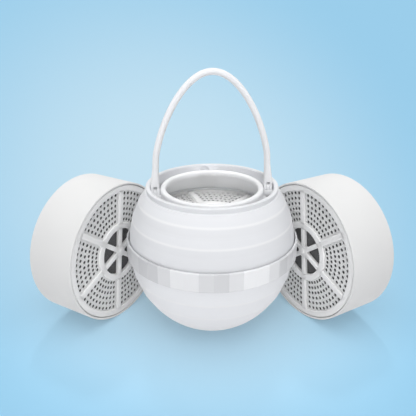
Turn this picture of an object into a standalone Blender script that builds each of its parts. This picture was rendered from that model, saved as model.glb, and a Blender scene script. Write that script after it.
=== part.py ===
"""Bath-tap ball filter on a hanging loop, with one cartridge inside and two spare ones beside it.

Water runs into the ring at the top, down through a flat round filter cartridge and out at the foot.
Frame: origin at the middle of the ball's foot, +Z up, +X along the pivots of the hanging loop.
All sizes are in metres. The ball is turned about Z; the spare cartridges lie on their round sides.
"""

import math

import bmesh
import bpy
from mathutils import Matrix, Vector

MM = 0.001

# ---- Fits -----------------------------------------------------------------------------------
SEAT_GAP = 0.3 * MM  # between pieces that touch
RUNNING_GAP = 0.5 * MM  # between pieces that turn or slide past each other

# ---- Ball outline ---------------------------------------------------------------------------
BALL_RADIUS = 58.0 * MM  # of the white shells, at the middle of the band
BALL_HALF_HEIGHT = 64.4 * MM  # of the egg-shaped outline
SHELL_WALL = 2.2 * MM
RIDGE_HEIGHT = 0.35 * MM  # how far the edge between two terraces of a shell stands out
UPPER_RIDGES = (20.6 * MM, 32.7 * MM)  # heights of those edges above the band's middle
LOWER_RIDGES = (19.2 * MM, 31.8 * MM)  # depths of those edges below the band's middle
SHELL_SEGMENTS = 40

# ---- Band and the screwed joint behind it ---------------------------------------------------
BAND_HEIGHT = 13.2 * MM
BAND_PROUD = 2.0 * MM  # how far the band stands out from the shells
BAND_WALL = 1.3 * MM
BAND_CHAMFER = 0.5 * MM
SHOULDER_DEPTH = 2.4 * MM  # of the upper shell's shoulder below the band's top edge
SEAL_THICKNESS = 1.2 * MM
SPIGOT_LENGTH = 8.0 * MM  # of the upper shell inside the neck of the lower one
SPIGOT_WALL = 1.8 * MM

# ---- Rim, inlet ring and funnel -------------------------------------------------------------
RIM_RISE = 43.4 * MM  # top edge above the band's middle
RIM_BAND_HEIGHT = 3.9 * MM
RIM_TAPER = 0.9 * MM  # the rim is this much narrower at its top edge
RIM_WIDTH = 2.7 * MM
RIM_DEPTH = 7.1 * MM  # from the top edge down to the ledge that holds the funnel
RIM_ROUND = 0.5 * MM
TROUGH_WIDTH = 6.9 * MM  # between the rim and the inlet ring
INLET_RING_WIDTH = 3.9 * MM
INLET_RING_DROP = 1.5 * MM  # crest of the inlet ring below the rim's top edge
INLET_RING_HEIGHT = 3.6 * MM
FUNNEL_WALL = 1.8 * MM
FUNNEL_FLANGE = 3.8 * MM
ARM_THICKNESS = 3.6 * MM
KEY_ARM_WIDTH = 17.0 * MM  # the plain arms, front and back
LUG_ARM_WIDTH = 9.0 * MM  # the arms under the loop's ends
ARM_FOOT_REACH = 2.0 * MM  # how far an arm hooks under the rim's ledge
NOTCH_RADIUS = 3.6 * MM  # half-round pockets in the rim for the funnel's tongues
NOTCH_DROP = 4.6 * MM  # their centres below the rim's top edge
NOTCH_DEPTH = 1.2 * MM
TONGUE_WIDTH = 5.0 * MM

# ---- Hanging loop ---------------------------------------------------------------------------
PIVOT_DROP = 3.8 * MM  # pivots below the rim's top edge
LOOP_HEIGHT = 79.1 * MM  # tube's centre line above the pivots
LOOP_TUBE_RADIUS = 2.25 * MM
LOOP_FLARE_LENGTH = 12.0 * MM
LOOP_FLARE = 1.2  # width of the tube's ends, as a multiple of the tube's
LOOP_POINTS = 27
LUG_THICKNESS = 2.0 * MM
PIN_RADIUS = 1.1 * MM

# ---- Foot and outlet ------------------------------------------------------------------------
FOOT_RADIUS = 17.5 * MM
FOOT_HEIGHT = 2.2 * MM  # of the foot's wall, up to the ball's outline
OUTLET_LEDGE = 2.3 * MM  # width of the ledge that carries the rose
FOOT_FLOOR = 2.0 * MM
FOOT_WALL = 2.2 * MM
ROSE_THICKNESS = 1.8 * MM
ROSE_HOLE = 2.4 * MM
RIB_COUNT = 6
RIB_WIDTH = 1.8 * MM
RIB_HEIGHT = 18.0 * MM
RIB_REACH = 8.0 * MM  # how far a rib reaches in under the cartridge

# ---- Filter cartridge -----------------------------------------------------------------------
CARTRIDGE_DROP = 16.0 * MM  # underside of the cartridge below the band's middle
CARTRIDGE_HEIGHT = 38.0 * MM
CARTRIDGE_TURN = math.radians(43.6)  # of the inner cartridge's spokes, from +X
CARTRIDGE_CLEARANCE = 0.75 * MM  # between its top edge and the upper shell
CAN_LIP = 1.4 * MM
CAN_WALL = 2.2 * MM
GRILLE_THICKNESS = 2.8 * MM
GRILLE_RECESS = 1.5 * MM  # perforated panels below the spokes
GRILLE_RIM = 4.5 * MM  # solid ring around the perforated panels
HUB_RING_RADIUS = 22.0 * MM
HUB_RING_WIDTH = 4.5 * MM
SPOKE_COUNT = 6
SPOKE_WIDTH = 4.2 * MM
INNER_SPOKE_WIDTH = 3.4 * MM
HUB_RADIUS = 4.4 * MM
PANEL_MARGIN = 2.2 * MM  # solid edge between a panel's outline and its holes
PANEL_ROWS = (4, 3, 2)  # holes in each row of a panel, from the outside inwards
PANEL_HOLE = 3.4 * MM  # across the flats
FELT_THICKNESS = 2.5 * MM
CARTRIDGE_SEGMENTS = 30
CARTRIDGE_SEAL_THICKNESS = 1.4 * MM
CARTRIDGE_SEAL_WIDTH = 3.0 * MM

# ---- Spare cartridges -----------------------------------------------------------------------
SET_TURN = math.radians(-7.4)  # the pair of spares is turned about the ball by this much
SPARE_YAW = math.radians(58.1)  # how far each perforated face turns in towards the ball
SPARE_GAP = 0.4 * MM  # between a face and the band
SPARE_SHIFT = 28.9 * MM  # how far a spare stands forward of the point nearest the ball
SPARE_ROLL = math.radians(-7.2)  # lean of a spoke from the upright, away from the ball

# ---- Sizes worked out from those above ------------------------------------------------------
BALL_CENTRE_HEIGHT = FOOT_HEIGHT + BALL_HALF_HEIGHT * math.sqrt(1.0 - (FOOT_RADIUS / BALL_RADIUS) ** 2)
RIM_TOP = BALL_CENTRE_HEIGHT + RIM_RISE
CARTRIDGE_FLOOR = BALL_CENTRE_HEIGHT - CARTRIDGE_DROP
BAND_RADIUS = BALL_RADIUS + BAND_PROUD
BAND_BORE = BAND_RADIUS - BAND_WALL
BAND_TOP = BALL_CENTRE_HEIGHT + BAND_HEIGHT / 2
BAND_BOTTOM = BALL_CENTRE_HEIGHT - BAND_HEIGHT / 2
SHOULDER_Z = BAND_TOP - SHOULDER_DEPTH
SEAL_TOP = SHOULDER_Z - SEAT_GAP
SEAL_BOTTOM = SEAL_TOP - SEAL_THICKNESS
NECK_TOP = SEAL_BOTTOM - SEAT_GAP
NECK_RADIUS = BAND_BORE - SEAT_GAP
NECK_BORE = NECK_RADIUS - SHELL_WALL
SPIGOT_RADIUS = NECK_BORE - RUNNING_GAP
SPIGOT_BORE = SPIGOT_RADIUS - SPIGOT_WALL
SPIGOT_BOTTOM = NECK_TOP - SPIGOT_LENGTH
NECK_FLOOR = SPIGOT_BOTTOM - RUNNING_GAP
CARTRIDGE_TOP = CARTRIDGE_FLOOR + CARTRIDGE_HEIGHT
RIB_TOP = CARTRIDGE_FLOOR - SEAT_GAP
CARTRIDGE_SEAL_BOTTOM = CARTRIDGE_TOP + SEAT_GAP
CARTRIDGE_SEAL_TOP = CARTRIDGE_SEAL_BOTTOM + CARTRIDGE_SEAL_THICKNESS
FUNNEL_BOTTOM = CARTRIDGE_SEAL_TOP + SEAT_GAP
RIM_CREASE = RIM_TOP - RIM_BAND_HEIGHT
LEDGE_Z = RIM_TOP - RIM_DEPTH
INLET_CREST = RIM_TOP - INLET_RING_DROP
PIVOT_Z = RIM_TOP - PIVOT_DROP
PIN_HOLE_RADIUS = PIN_RADIUS + SEAT_GAP


def ball_radius(z, inset=0.0):
    """Radius of the egg-shaped outline, or of one that lies this far inside it, at height z."""
    share = (z - BALL_CENTRE_HEIGHT) / (BALL_HALF_HEIGHT - inset)
    return (BALL_RADIUS - inset) * math.sqrt(max(0.0, 1.0 - share * share))


def ball_height(radius, inset=0.0):
    """Height above the foot at which the lower half of that outline has this radius."""
    share = min(1.0, radius / (BALL_RADIUS - inset))
    return BALL_CENTRE_HEIGHT - (BALL_HALF_HEIGHT - inset) * math.sqrt(1.0 - share * share)


# ---- Radii that follow from the outline -----------------------------------------------------
CARTRIDGE_RADIUS = ball_radius(CARTRIDGE_TOP, SHELL_WALL) - CARTRIDGE_CLEARANCE
RIM_RADIUS = ball_radius(RIM_CREASE) - RIM_TAPER
RIM_BORE = RIM_RADIUS - RIM_WIDTH
INLET_RING_RADIUS = RIM_BORE - TROUGH_WIDTH
INLET_BORE = INLET_RING_RADIUS - INLET_RING_WIDTH
PIVOT_RADIUS = (RIM_BORE + INLET_RING_RADIUS) / 2
FORK_RADIUS = (TROUGH_WIDTH - 2 * RUNNING_GAP) / 2
ARM_FLOOR = PIVOT_Z - FORK_RADIUS - RUNNING_GAP
NOTCH_Z = RIM_TOP - NOTCH_DROP
GRILLE_RADIUS = CARTRIDGE_RADIUS - CAN_LIP - SEAT_GAP
PANEL_RADIUS = GRILLE_RADIUS - GRILLE_RIM
FUNNEL_MOUTH = PANEL_RADIUS - SEAT_GAP
CAN_BORE = CARTRIDGE_RADIUS - CAN_WALL
FILLING_RADIUS = CAN_BORE - SEAT_GAP
ROSE_RADIUS = FOOT_RADIUS - FOOT_WALL - SEAT_GAP


# ---- Finishes -------------------------------------------------------------------------------
# name: colour, roughness, metallic
FINISHES = {
    "shell_white": ((0.86, 0.87, 0.89), 0.22, 0.0),
    "loop_white": ((0.88, 0.88, 0.90), 0.35, 0.0),
    "band_chrome": ((0.83, 0.84, 0.86), 0.08, 1.0),
    "cartridge_white": ((0.87, 0.87, 0.86), 0.45, 0.0),
    "seal_silicone": ((0.62, 0.63, 0.64), 0.55, 0.0),
    "felt_grey": ((0.09, 0.09, 0.09), 0.95, 0.0),
    "filter_granules": ((0.16, 0.14, 0.12), 0.9, 0.0),
    "pin_steel": ((0.60, 0.60, 0.61), 0.3, 1.0),
}


def clear_scene():
    for obj in list(bpy.data.objects):
        bpy.data.objects.remove(obj)


def collection(name):
    made = bpy.data.collections.new(name)
    bpy.context.scene.collection.children.link(made)
    return made


def material(name):
    if name in bpy.data.materials:
        return bpy.data.materials[name]
    colour, roughness, metallic = FINISHES[name]
    made = bpy.data.materials.new(name)
    made.use_nodes = True
    shader = made.node_tree.nodes["Principled BSDF"]
    shader.inputs["Base Color"].default_value = (*colour, 1.0)
    shader.inputs["Roughness"].default_value = roughness
    shader.inputs["Metallic"].default_value = metallic
    return made


# ---- Modelling helpers ----------------------------------------------------------------------
def add_object(name, data, into, finish=None):
    obj = bpy.data.objects.new(name, data)
    into.objects.link(obj)
    if finish:
        data.materials.append(material(finish))
    return obj


def set_mesh(obj, mesh):
    """Gives obj this mesh in place of its own, shaded smooth except at its sharp edges."""
    mesh.shade_smooth()
    mesh.set_sharp_from_angle(angle=math.radians(35))
    obj.modifiers.clear()
    obj.data = mesh
    return obj


def evaluated_mesh(obj):
    bpy.context.view_layer.update()
    seen = obj.evaluated_get(bpy.context.evaluated_depsgraph_get())
    mesh = bpy.data.meshes.new_from_object(seen)
    welder = bmesh.new()
    welder.from_mesh(mesh)
    bmesh.ops.remove_doubles(welder, verts=welder.verts, dist=1e-6)
    welder.to_mesh(mesh)
    welder.free()
    return mesh


def turned(name, outline, into, finish=None, segments=SHELL_SEGMENTS):
    """A ring turned about Z from a closed outline of (radius, height) points.

    The outline runs down its outer side and up its inner side.
    """
    mesh = bpy.data.meshes.new(name)
    count = len(outline)
    mesh.from_pydata([(r, 0.0, z) for r, z in outline], [(i, (i + 1) % count) for i in range(count)], [])
    obj = add_object(name, mesh, into, finish)
    screw = obj.modifiers.new("turn", "SCREW")
    screw.steps = screw.render_steps = segments
    screw.use_merge_vertices = True
    screw.merge_threshold = 1e-5
    return set_mesh(obj, evaluated_mesh(obj))


def disc(name, radius, bottom, top, into, finish=None, segments=CARTRIDGE_SEGMENTS):
    builder = bmesh.new()
    bmesh.ops.create_cone(
        builder, cap_ends=True, segments=segments, radius1=radius, radius2=radius,
        depth=top - bottom, matrix=Matrix.Translation((0, 0, (top + bottom) / 2)),
    )
    mesh = bpy.data.meshes.new(name)
    builder.to_mesh(mesh)
    builder.free()
    return set_mesh(add_object(name, mesh, into, finish), mesh)


def rod(name, radius, start, end, into, finish=None, segments=16):
    """A cylinder from one point to another."""
    axis = Vector(end) - Vector(start)
    place = Matrix.Translation((Vector(start) + Vector(end)) / 2) @ axis.to_track_quat("Z", "X").to_matrix().to_4x4()
    builder = bmesh.new()
    bmesh.ops.create_cone(
        builder, cap_ends=True, segments=segments, radius1=radius, radius2=radius,
        depth=axis.length, matrix=place,
    )
    mesh = bpy.data.meshes.new(name)
    builder.to_mesh(mesh)
    builder.free()
    return set_mesh(add_object(name, mesh, into, finish), mesh)


def block(name, low, high, into):
    """A box between two corners."""
    low, high = Vector(low), Vector(high)
    place = Matrix.Translation((low + high) / 2) @ Matrix.Diagonal((*(high - low), 1.0))
    builder = bmesh.new()
    bmesh.ops.create_cube(builder, size=1.0, matrix=place)
    mesh = bpy.data.meshes.new(name)
    builder.to_mesh(mesh)
    builder.free()
    return add_object(name, mesh, into)


def prism(name, outlines, bottom, top, into, finish=None):
    """A flat plate between two heights, from closed outlines of (x, y) points.

    An outline inside another is a hole in it; outlines side by side are separate plates.
    """
    curve = bpy.data.curves.new(name, "CURVE")
    curve.dimensions = "2D"
    curve.fill_mode = "BOTH"
    curve.extrude = (top - bottom) / 2
    for outline in outlines:
        spline = curve.splines.new("POLY")
        spline.points.add(len(outline) - 1)
        for point, (x, y) in zip(spline.points, outline):
            point.co = (x, y, 0.0, 1.0)
        spline.use_cyclic_u = True
    drawn = add_object(name + "_outline", curve, into)
    mesh = evaluated_mesh(drawn)
    mesh.transform(Matrix.Translation((0, 0, (top + bottom) / 2)))
    mesh.name = name
    bpy.data.objects.remove(drawn)
    obj = add_object(name, mesh, into, finish)
    return set_mesh(obj, mesh)


def upright(name, outline, half_width, turn, into):
    """A plate that stands in the plane of the Z axis, from (radius, height) points, turned about Z."""
    plate = prism(name, [outline], -half_width, half_width, into)
    # The plate's x stays radial, its y becomes the height.
    plate.data.transform(Matrix.Rotation(turn, 4, "Z") @ Matrix.Rotation(math.radians(90), 4, "X"))
    return plate


def combine(obj, others, operation):
    """Joins the others to obj with UNION, or cuts them out of it with DIFFERENCE, and keeps the mesh."""
    for other in others:
        other.hide_render = True
        other.display_type = "WIRE"
        modifier = obj.modifiers.new(operation.lower(), "BOOLEAN")
        modifier.operation = operation
        modifier.object = other
    mesh = evaluated_mesh(obj)
    tidier = bmesh.new()
    tidier.from_mesh(mesh)
    bmesh.ops.dissolve_limit(tidier, angle_limit=math.radians(0.2), verts=tidier.verts, edges=tidier.edges)
    tidier.to_mesh(mesh)
    tidier.free()
    set_mesh(obj, mesh)
    for other in others:
        bpy.data.objects.remove(other)
    return obj


def arc(radius, start, end, points):
    """Points on a circle about the origin, from one angle to another, both ends among them."""
    angles = [start + (end - start) * i / (points - 1) for i in range(points)]
    return [(radius * math.cos(a), radius * math.sin(a)) for a in angles]


def around(count, first=0.0):
    return [first + 2 * math.pi * i / count for i in range(count)]


# ---- Shell outlines -------------------------------------------------------------------------
def terraces(start, end, ridges, direction, pieces):
    """Outer outline of a shell from one height to another, with an edge that stands out between terraces.

    Each stretch between two edges is drawn with as many pieces as are given for it, and is hollowed
    a little, so that its middle lies on the ball's outline.
    """
    levels = [BALL_CENTRE_HEIGHT + direction * ridge for ridge in ridges]
    levels = [z for z in levels if min(start, end) < z < max(start, end)]
    stops = [start, *sorted(levels, reverse=end < start), end]
    points = [(ball_radius(start), start)]
    for low, high, count in zip(stops, stops[1:], pieces):
        for i in range(1, count + 1):
            z = low + (high - low) * i / count
            proud = RIDGE_HEIGHT if i == count and z != end else 0.0
            points.append((ball_radius(z) + proud, z))
    return points


def inner_wall(start, end, pieces):
    return [
        (ball_radius(z, SHELL_WALL), z)
        for z in (start + (end - start) * i / pieces for i in range(pieces + 1))
    ]


# ---- The ball's own pieces ------------------------------------------------------------------
def lower_shell(parts, cutters):
    """Bowl with a neck for the band and the spigot, ribs for the cartridge and a foot for the rose."""
    foot_top = ball_height(FOOT_RADIUS)
    outlet = ROSE_RADIUS - OUTLET_LEDGE
    pocket = ROSE_RADIUS + SEAT_GAP
    outline = [(NECK_RADIUS, NECK_TOP), (NECK_RADIUS, BAND_BOTTOM + SEAT_GAP)]
    outline += terraces(BAND_BOTTOM, foot_top, LOWER_RIDGES, -1, (2, 2, 4))[:-1]
    outline += [(FOOT_RADIUS, foot_top), (FOOT_RADIUS, 0.0), (outlet, 0.0), (outlet, FOOT_FLOOR)]
    outline += [(pocket, FOOT_FLOOR)]
    outline += inner_wall(ball_height(pocket, SHELL_WALL), NECK_FLOOR - SHELL_WALL, 5)
    outline += [(NECK_BORE, NECK_FLOOR), (NECK_BORE, NECK_TOP)]
    shell = turned("lower_shell", outline, parts, "shell_white")
    levels = [RIB_TOP - RIB_HEIGHT * share for share in (0.0, 0.5, 1.0)]
    edge = [(ball_radius(z, SHELL_WALL / 2), z) for z in levels]
    tip = CARTRIDGE_RADIUS - RIB_REACH
    side = [(tip, RIB_TOP), (tip, RIB_TOP - RIB_HEIGHT / 4), *reversed(edge)]
    ribs = [
        upright(f"rib_{i}", side, RIB_WIDTH / 2, angle, cutters)
        for i, angle in enumerate(around(RIB_COUNT, math.pi / RIB_COUNT))
    ]
    return combine(shell, ribs, "UNION")


def outlet_rose(parts, cutters):
    """Perforated disc that drops onto the ledge in the foot."""
    pitch = (ROSE_RADIUS - ROSE_HOLE) / 2
    centres = [(0.0, 0.0)]
    for ring, count in ((1, 6), (2, 12)):
        centres += [(ring * pitch * math.cos(a), ring * pitch * math.sin(a)) for a in around(count)]
    holes = [
        [(x + ROSE_HOLE / 2 * math.cos(a), y + ROSE_HOLE / 2 * math.sin(a)) for a in around(5)]
        for x, y in centres
    ]
    bottom = FOOT_FLOOR + SEAT_GAP
    rim = arc(ROSE_RADIUS, 0.0, 2 * math.pi, 29)[:-1]
    return prism("outlet_rose", [rim, *holes], bottom, bottom + ROSE_THICKNESS, parts, "shell_white")


def chrome_band(parts):
    outline = [
        (BAND_RADIUS - BAND_CHAMFER, BAND_TOP), (BAND_RADIUS, BAND_TOP - BAND_CHAMFER),
        (BAND_RADIUS, BAND_BOTTOM + BAND_CHAMFER), (BAND_RADIUS - BAND_CHAMFER, BAND_BOTTOM),
        (BAND_BORE, BAND_BOTTOM), (BAND_BORE, BAND_TOP),
    ]
    return turned("chrome_band", outline, parts, "band_chrome")


def closure_seal(parts):
    inner, outer = SPIGOT_RADIUS + SEAT_GAP, NECK_RADIUS - SEAT_GAP
    outline = [(outer, SEAL_TOP), (outer, SEAL_BOTTOM), (inner, SEAL_BOTTOM), (inner, SEAL_TOP)]
    return turned("closure_seal", outline, parts, "seal_silicone", CARTRIDGE_SEGMENTS)


def upper_shell(parts, cutters):
    """Dome with a rim at the top, a ledge under the rim and a spigot that screws into the neck."""
    outline = [(RIM_RADIUS - RIM_ROUND, RIM_TOP), (RIM_RADIUS, RIM_TOP - RIM_ROUND)]
    outline += terraces(BAND_TOP, RIM_CREASE, UPPER_RIDGES, 1, (2, 2, 2))[::-1]
    shoulder = ball_radius(BAND_TOP)
    outline += [(shoulder, SHOULDER_Z), (SPIGOT_RADIUS, SHOULDER_Z), (SPIGOT_RADIUS, SPIGOT_BOTTOM)]
    outline += [(SPIGOT_BORE, SPIGOT_BOTTOM), (SPIGOT_BORE, SHOULDER_Z)]
    outline += inner_wall(BAND_TOP + SHELL_WALL, LEDGE_Z, 3)
    outline += [(RIM_BORE, LEDGE_Z), (RIM_BORE, RIM_TOP - RIM_ROUND), (RIM_BORE + RIM_ROUND, RIM_TOP)]
    shell = turned("upper_shell", outline, parts, "shell_white")
    root, reach = RIM_BORE - NOTCH_DEPTH, RIM_BORE + NOTCH_DEPTH
    notches = [
        rod(f"notch_{side}", NOTCH_RADIUS, (0, side * root, NOTCH_Z), (0, side * reach, NOTCH_Z), cutters)
        for side in (-1, 1)
    ]
    return combine(shell, notches, "DIFFERENCE")


def arm(name, half_width, root, tip, bottom, top, turn, into):
    """A straight arm that runs outwards, with its end rounded to the rim, turned about Z."""
    lean = math.asin(half_width / tip)
    outline = [(root, half_width), (root, -half_width), *arc(tip, -lean, lean, 4)]
    plate = prism(name, [outline], bottom, top, into)
    plate.data.transform(Matrix.Rotation(turn, 4, "Z"))
    return plate


def inlet_funnel(parts, cutters):
    """Inlet ring and funnel, on four arms that hook under the rim. Two arms carry the loop's lugs."""
    crest_round = INLET_RING_WIDTH / 3
    cone_top = INLET_CREST - INLET_RING_HEIGHT
    slope = (FUNNEL_MOUTH - INLET_BORE) / (cone_top - FUNNEL_BOTTOM)
    thick = FUNNEL_WALL * math.hypot(1.0, slope)
    flange_top = FUNNEL_BOTTOM + FUNNEL_WALL
    outline = [
        (INLET_RING_RADIUS - crest_round, INLET_CREST),
        (INLET_RING_RADIUS, INLET_CREST - crest_round),
        (INLET_RING_RADIUS, cone_top - (INLET_RING_WIDTH - thick) / slope),
        (FUNNEL_MOUTH + thick - slope * FUNNEL_WALL, flange_top),
        (FUNNEL_MOUTH + FUNNEL_FLANGE, flange_top),
        (FUNNEL_MOUTH + FUNNEL_FLANGE, FUNNEL_BOTTOM),
        (FUNNEL_MOUTH, FUNNEL_BOTTOM),
        (INLET_BORE, cone_top),
        (INLET_BORE, INLET_CREST - crest_round),
        (INLET_BORE + crest_round, INLET_CREST),
    ]
    funnel = turned("inlet_funnel", outline, parts, "shell_white")
    floor = ARM_FLOOR - ARM_THICKNESS
    foot_top = LEDGE_Z - SEAT_GAP
    root, foot_root = INLET_RING_RADIUS - INLET_RING_WIDTH / 2, INLET_RING_RADIUS
    tip = RIM_BORE - RUNNING_GAP
    foot_tip = RIM_BORE + ARM_FOOT_REACH
    tongue_tip = RIM_BORE + NOTCH_DEPTH - RUNNING_GAP
    arms = (("key", KEY_ARM_WIDTH, NOTCH_Z + SEAT_GAP, math.pi / 2), ("lug", LUG_ARM_WIDTH, ARM_FLOOR, 0.0))
    joined, bores = [], []
    for side in (0, 1):
        for kind, width, top, first in arms:
            turn = first + side * math.pi
            joined.append(arm(f"{kind}_arm_{side}", width / 2, root, tip, floor, top, turn, cutters))
            joined.append(arm(
                f"{kind}_foot_{side}", width / 2 - SEAT_GAP, foot_root, foot_tip, floor + SEAT_GAP, foot_top, turn,
                cutters,
            ))
        sign = 1 - 2 * side
        ends = sorted((sign * (tip - NOTCH_DEPTH), sign * tongue_tip))
        joined.append(block(
            f"tongue_{side}", (-TONGUE_WIDTH / 2, ends[0], NOTCH_Z - NOTCH_RADIUS / 2),
            (TONGUE_WIDTH / 2, ends[1], NOTCH_Z - SEAT_GAP), cutters,
        ))
        faces = [sign * (PIVOT_RADIUS + half * LUG_THICKNESS / 2) for half in (-1, 1)]
        joined.append(rod(
            f"lug_{side}", FORK_RADIUS, (faces[0], 0, PIVOT_Z), (faces[1], 0, PIVOT_Z), cutters
        ))
        joined.append(block(
            f"lug_post_{side}", (min(faces), -FORK_RADIUS, ARM_FLOOR - ARM_THICKNESS / 2),
            (max(faces), FORK_RADIUS, PIVOT_Z), cutters,
        ))
        bores.append(rod(
            f"lug_bore_{side}", PIN_HOLE_RADIUS, (faces[0] - sign * LUG_THICKNESS, 0, PIVOT_Z),
            (faces[1] + sign * LUG_THICKNESS, 0, PIVOT_Z), cutters, segments=12,
        ))
    combine(funnel, joined, "UNION")
    return combine(funnel, bores, "DIFFERENCE")


def funnel_seal(parts):
    inner = FUNNEL_MOUTH + SEAT_GAP
    outer = inner + CARTRIDGE_SEAL_WIDTH
    outline = [
        (outer, CARTRIDGE_SEAL_TOP), (outer, CARTRIDGE_SEAL_BOTTOM),
        (inner, CARTRIDGE_SEAL_BOTTOM), (inner, CARTRIDGE_SEAL_TOP),
    ]
    return turned("funnel_seal", outline, parts, "seal_silicone", CARTRIDGE_SEGMENTS)


def loop_centre_line():
    """Half an ellipse that stands on the two pivots, as (x, z) points from the pivots' height."""
    angles = [-math.pi / 2 + math.pi * i / (LOOP_POINTS - 1) for i in range(LOOP_POINTS)]
    return [(PIVOT_RADIUS * math.sin(a), LOOP_HEIGHT * math.cos(a)) for a in angles]


def hanging_loop(parts, cutters):
    """Tube bent to half an ellipse, flared at its ends into forks that straddle the funnel's lugs."""
    curve = bpy.data.curves.new("hanging_loop", "CURVE")
    curve.dimensions = "3D"
    curve.bevel_depth = LOOP_TUBE_RADIUS
    curve.bevel_resolution = 2
    curve.use_fill_caps = True
    spline = curve.splines.new("POLY")
    line = loop_centre_line()
    spline.points.add(len(line) - 1)
    for point, (x, z) in zip(spline.points, line):
        point.co = (x, 0.0, z, 1.0)
        flare = max(0.0, 1.0 - z / LOOP_FLARE_LENGTH)
        point.radius = 1.0 + (LOOP_FLARE - 1.0) * flare
    drawn = add_object("loop_tube", curve, cutters)
    mesh = evaluated_mesh(drawn)
    bpy.data.objects.remove(drawn)
    loop = set_mesh(add_object("hanging_loop", mesh, parts, "loop_white"), mesh)
    barrels, cuts = [], []
    slot = LUG_THICKNESS / 2 + SEAT_GAP
    for side in (-1, 1):
        middle = side * PIVOT_RADIUS
        barrels.append(rod(
            f"fork_{side}", FORK_RADIUS, (middle - FORK_RADIUS, 0, 0), (middle + FORK_RADIUS, 0, 0), cutters
        ))
        cuts.append(block(
            f"slot_{side}", (middle - slot, -2 * FORK_RADIUS, -2 * FORK_RADIUS),
            (middle + slot, 2 * FORK_RADIUS, FORK_RADIUS + RUNNING_GAP), cutters,
        ))
        cuts.append(rod(
            f"fork_bore_{side}", PIN_HOLE_RADIUS, (middle - 2 * FORK_RADIUS, 0, 0),
            (middle + 2 * FORK_RADIUS, 0, 0), cutters, segments=12,
        ))
    combine(loop, barrels, "UNION")
    return combine(loop, cuts, "DIFFERENCE")


def pivot_pin(side, parts):
    name = "pivot_pin_right" if side > 0 else "pivot_pin_left"
    middle, half = side * PIVOT_RADIUS, FORK_RADIUS
    return rod(name, PIN_RADIUS, (middle - half, 0, PIVOT_Z), (middle + half, 0, PIVOT_Z), parts, "pin_steel", 12)


# ---- Cartridge pieces, with the front face at height 0 and looking up --------------------------
def sector(inner, outer, half_gap, turn, outer_points, inner_points):
    """Outline of one window between two spokes: its sides run parallel to the spokes."""
    half = math.pi / SPOKE_COUNT
    lean_out = half - math.asin(half_gap / outer)
    lean_in = half - math.asin(min(0.999, half_gap / inner)) if inner_points else 0.0
    edge = arc(outer, turn - lean_out, turn + lean_out, outer_points)
    if inner_points:
        return edge + arc(inner, turn + lean_in, turn - lean_in, inner_points)
    corner = half_gap / math.sin(half)
    return edge + [(corner * math.cos(turn), corner * math.sin(turn))]


def panel_holes(turn):
    """Square holes of one perforated panel, in rows that follow its curve."""
    high = PANEL_RADIUS - PANEL_MARGIN - PANEL_HOLE / 2
    low = HUB_RING_RADIUS + PANEL_MARGIN + PANEL_HOLE / 2
    holes = []
    for row, count in enumerate(PANEL_ROWS):
        radius = high - (high - low) * row / (len(PANEL_ROWS) - 1)
        edge = math.asin((SPOKE_WIDTH / 2 + PANEL_MARGIN + PANEL_HOLE / 2) / radius)
        reach = math.pi / SPOKE_COUNT - edge
        for i in range(count):
            angle = turn - reach + 2 * reach * i / (count - 1)
            x, y = radius * math.cos(angle), radius * math.sin(angle)
            corners = around(4, angle + math.pi / 4)
            half = PANEL_HOLE / math.sqrt(2)
            holes.append([(x + half * math.cos(a), y + half * math.sin(a)) for a in corners])
    return holes


def grille_mesh(front, cutters):
    """Spoked end plate of a cartridge. The front one has perforated panels, the rear one open windows."""
    turns = around(SPOKE_COUNT, math.pi / SPOKE_COUNT)
    inner_ring = HUB_RING_RADIUS - HUB_RING_WIDTH
    bottom = -GRILLE_THICKNESS
    windows = [sector(0.0, inner_ring, INNER_SPOKE_WIDTH / 2, t, 4, 0) for t in turns]
    rim = arc(GRILLE_RADIUS, 0.0, 2 * math.pi, CARTRIDGE_SEGMENTS + 1)[:-1]
    if front:
        plate = prism("front_grille", [rim, *windows], bottom, 0.0, cutters)
        panels = [sector(HUB_RING_RADIUS, PANEL_RADIUS, SPOKE_WIDTH / 2, t, 5, 3) for t in turns]
        pockets = prism("panel_pockets", panels, -GRILLE_RECESS, GRILLE_THICKNESS, cutters)
        holes = [hole for t in turns for hole in panel_holes(t)]
        punches = prism("panel_punches", holes, 2 * bottom, -GRILLE_RECESS / 2, cutters)
        combine(plate, [pockets, punches], "DIFFERENCE")
    else:
        windows += [sector(HUB_RING_RADIUS, PANEL_RADIUS, SPOKE_WIDTH / 2, t, 4, 3) for t in turns]
        plate = prism("rear_grille", [rim, *windows], bottom, 0.0, cutters)
    hub = disc("hub", HUB_RADIUS, bottom + SEAT_GAP, SEAT_GAP, cutters, segments=12)
    combine(plate, [hub], "UNION")
    mesh = plate.data
    bpy.data.objects.remove(plate)
    return mesh


def can_mesh(cutters):
    """Open sleeve with a lip and a shoulder at each end for the end plates."""
    height, wall = CARTRIDGE_HEIGHT, CARTRIDGE_RADIUS - CAN_LIP
    seat = GRILLE_THICKNESS + 2 * SEAT_GAP
    outline = [
        (CARTRIDGE_RADIUS, 0.0), (CARTRIDGE_RADIUS, -height), (wall, -height), (wall, seat - height),
        (CAN_BORE, seat - height), (CAN_BORE, -seat), (wall, -seat), (wall, 0.0),
    ]
    can = turned("can", outline, cutters, segments=CARTRIDGE_SEGMENTS)
    mesh = can.data
    bpy.data.objects.remove(can)
    return mesh


def disc_mesh(thickness, cutters):
    made = disc("filling", FILLING_RADIUS, -thickness, 0.0, cutters, segments=24)
    mesh = made.data
    bpy.data.objects.remove(made)
    return mesh


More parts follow.
